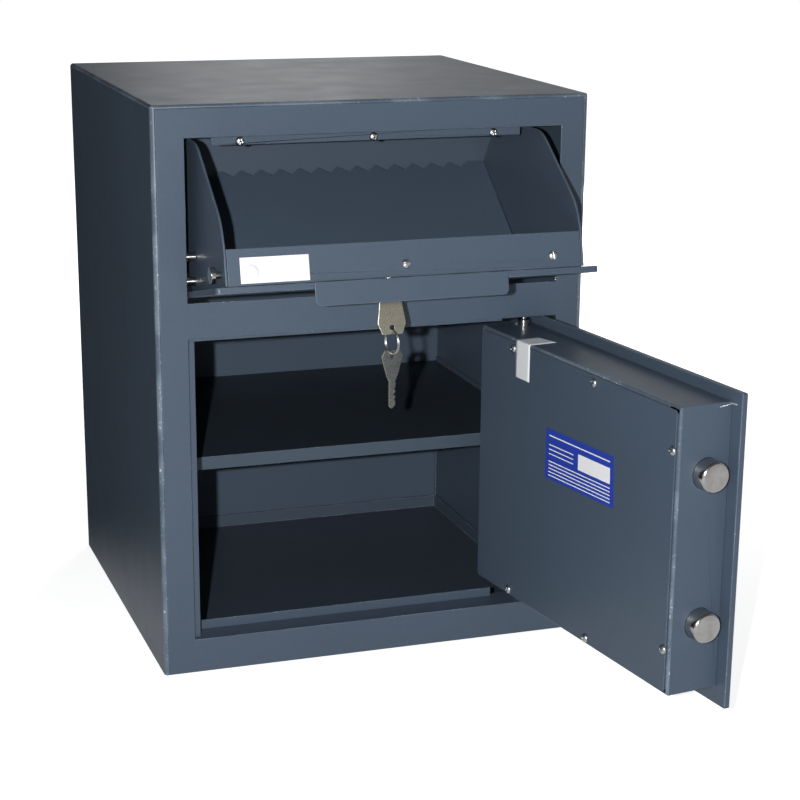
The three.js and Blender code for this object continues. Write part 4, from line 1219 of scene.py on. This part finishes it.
def sealSpot(across, up):
    x = seal["left"] + (seal["right"] - seal["left"]) * across
    rise = seal["top"] - seal["low"]
    run = rise + seal["face"] - seal["back"] - seal["skew"] * across
    way = run * up
    bend = seal["bend"]
    if way < rise - bend:
        return toDoor(x, seal["face"], seal["low"] + way)
    if way < rise + bend:
        angle = (way - rise + bend) / (2 * bend) * math.pi / 2
        depth = seal["face"] - bend + bend * math.cos(angle)
        return toDoor(x, depth, seal["top"] - bend + bend * math.sin(angle))
    return toDoor(x, seal["face"] - (way - rise), seal["top"])


mesh = smoothed(sheetMesh("paper_seal", evenRows(sealSpot, across=6, up=60)))
addFilm("paper_seal", mesh, "door", seal["thickness"], paperStrip)
print("stickers done")

# Weld beads: one tree lays overlapping drops of weld metal along a path, painted over or left bare

weldSize = {"pitch": 1.5, "radius": 1.7, "uneven": 0.22}


def weldTree(name, material):
    sizes = ("Drop pitch", "Drop radius", "Unevenness")
    tree, given = newGroup(name, "Path", sizes, "Drop seed", "Bead")
    path = addNode(tree, "GeometryNodeMeshToCurve", {0: given["Path"]})
    inputs = {0: path.outputs[0], "Length": given["Drop pitch"]}
    drops = addNode(tree, "GeometryNodeResampleCurve", inputs, mode="LENGTH")
    drop = addNode(tree, "GeometryNodeMeshIcoSphere", {"Radius": given["Drop radius"], "Subdivisions": 2})
    least = reckon(tree, "SUBTRACT", 1.0, given["Unevenness"])
    most = reckon(tree, "ADD", 1.0, given["Unevenness"])
    inputs = {2: least, 3: most, "Seed": given["Drop seed"]}
    grow = addNode(tree, "FunctionNodeRandomValue", inputs, data_type="FLOAT").outputs[1]
    inputs = {"Points": drops.outputs[0], "Instance": drop.outputs[0], "Scale": grow}
    return finishGroup(tree, addNode(tree, "GeometryNodeInstanceOnPoints", inputs), material)


def weldBeads(name, body, runs, tree, seed, size=1.0):
    mesh = bpy.data.meshes.new(name)
    spots = [Vector(spot) * mm for run in runs for spot in run]
    mesh.from_pydata(spots, [(2 * index, 2 * index + 1) for index in range(len(runs))], [])
    values = {
        "Drop pitch": weldSize["pitch"] * mm,
        "Drop radius": weldSize["radius"] * mm * size,
        "Unevenness": weldSize["uneven"],
        "Drop seed": seed,
    }
    belongs(grown(name, mesh, tree, values), body, "body_paint")


def doorRuns(runs):
    return [[toDoor(*spot) for spot in run] for run in runs]


weldedBody = weldTree("paintedWeldBead", bodyCoat)
weldedInside = weldTree("paintedInsideWeld", insideCoat)
weldedBare = weldTree("bareWeldSpots", zincPlate)
inner = {
    "side": 192.2,
    "back": 182.2,
    "floor": 8.0,
    "shelf": 171.5,
    "panBack": 181.4,
    "pan": 18.5,
    "run": 44,
}
runs = [
    [(side * inner["side"], inner["back"], inner[end]) for end in ("floor", "shelf")] for side in (1, -1)
]
runs.append([(inner["side"] - run, inner["panBack"], inner["pan"]) for run in (0, inner["run"])])
weldBeads("inside_welds", "cabinet", runs, weldedInside, seed=11)
corner = {"x": 169.2, "y": 1.2 + frontY, "low": 335.4, "high": 339.6}
runs = [[(corner["x"], corner["y"], corner[end]) for end in ("low", "high")]]
weldBeads("opening_weld", "cabinet", runs, weldedBare, seed=4, size=0.55)
doorJoint = [
    [(-153.2, 6.3, 289.4), (-159.0, 6.3, 289.8)],
    [(-153.0, 7.6, 288.9), (-153.0, 16.8, 287.7)],
]
weldBeads("door_joint_weld", "door", doorRuns(doorJoint), weldedBare, seed=6, size=0.5)
hingeFoot = (154.2, 20, 291.4)
hingeJoint = [[hingeFoot, (152.6, 24.5, 291.4)], [hingeFoot, (152.8, 15.4, 291.4)]]
weldBeads("hinge_weld", "door", doorRuns(hingeJoint), weldedBody, seed=9, size=1.1)
backSeam = {
    "side": 192.4,
    "top": 497.3,
    "bottom": 4.8,
    "y": 185.2,
    "length": 24,
    "heights": (12, 118, 236, 354, 462),
    "places": (-140, -12, 116),
}
y, length = backSeam["y"], backSeam["length"]
stitches = [
    [(x, y, z), (x, y, z + length)]
    for x in (-backSeam["side"], backSeam["side"])
    for z in backSeam["heights"]
] + [
    [(x, y, z), (x + length, y, z)]
    for z in (backSeam["top"], backSeam["bottom"])
    for x in backSeam["places"]
]
weldBeads("back_welds", "cabinet", stitches, weldedBody, seed=12, size=0.45)
print("welds done")

# Floor

floorMaterial, tree, spot = newMaterial("paleFloor")
fromCamera, shine = rayKinds(tree)
away = addNode(tree, "ShaderNodeVectorMath", {0: spot}, operation="LENGTH").outputs["Value"]
low, high = floorSetting["liftFrom"] * mm, floorSetting["liftTo"] * mm
level = spread(tree, away, low, high, floorSetting["lift"], 1.0)
parts = addNode(tree, "ShaderNodeSeparateXYZ", {0: spot}).outputs
slope = reckon(tree, "SUBTRACT", parts["Y"], parts["X"])
low, high = floorSetting["nearEnd"] * mm, floorSetting["farStart"] * mm
far = spread(tree, slope, low, high, 0.0, 1.0, smooth)
gloss = spread(tree, far, 0, 1, floorSetting["shineNear"], floorSetting["shineFar"])
mirrored = reckon(tree, "MULTIPLY", shine, gloss)
lift = reckon(tree, "MAXIMUM", reckon(tree, "MULTIPLY", fromCamera, level), mirrored)
glow = addNode(tree, "ShaderNodeEmission", {"Color": (1, 1, 1, 1), "Strength": lift})
# Painted light and shade for reflections: the mirrored floor glows and is pale near the front and right,
# and dark behind and to the left
near, distant = linear(floorSetting["mirroredNear"]), linear(floorSetting["mirroredFar"])
color = mixColor(tree, shine, linear(floorSetting["color"]), mixColor(tree, far, near, distant))
matte = addNode(tree, "ShaderNodeBsdfDiffuse", {"Color": color})
both = addNode(tree, "ShaderNodeAddShader", {0: glow.outputs[0], 1: matte.outputs[0]})
addNode(tree, "ShaderNodeOutputMaterial", {"Surface": both.outputs[0]})
floorMesh = bpy.data.meshes.new("floor")
half = floorSetting["half"] * mm
corners = [(-half, -half, 0), (half, -half, 0), (half, half, 0), (-half, half, 0)]
floorMesh.from_pydata(corners, [], [(0, 1, 2, 3)])
floorMesh.materials.append(floorMaterial)
placed("floor", floorMesh)

scene.view_settings.view_transform = "Standard"
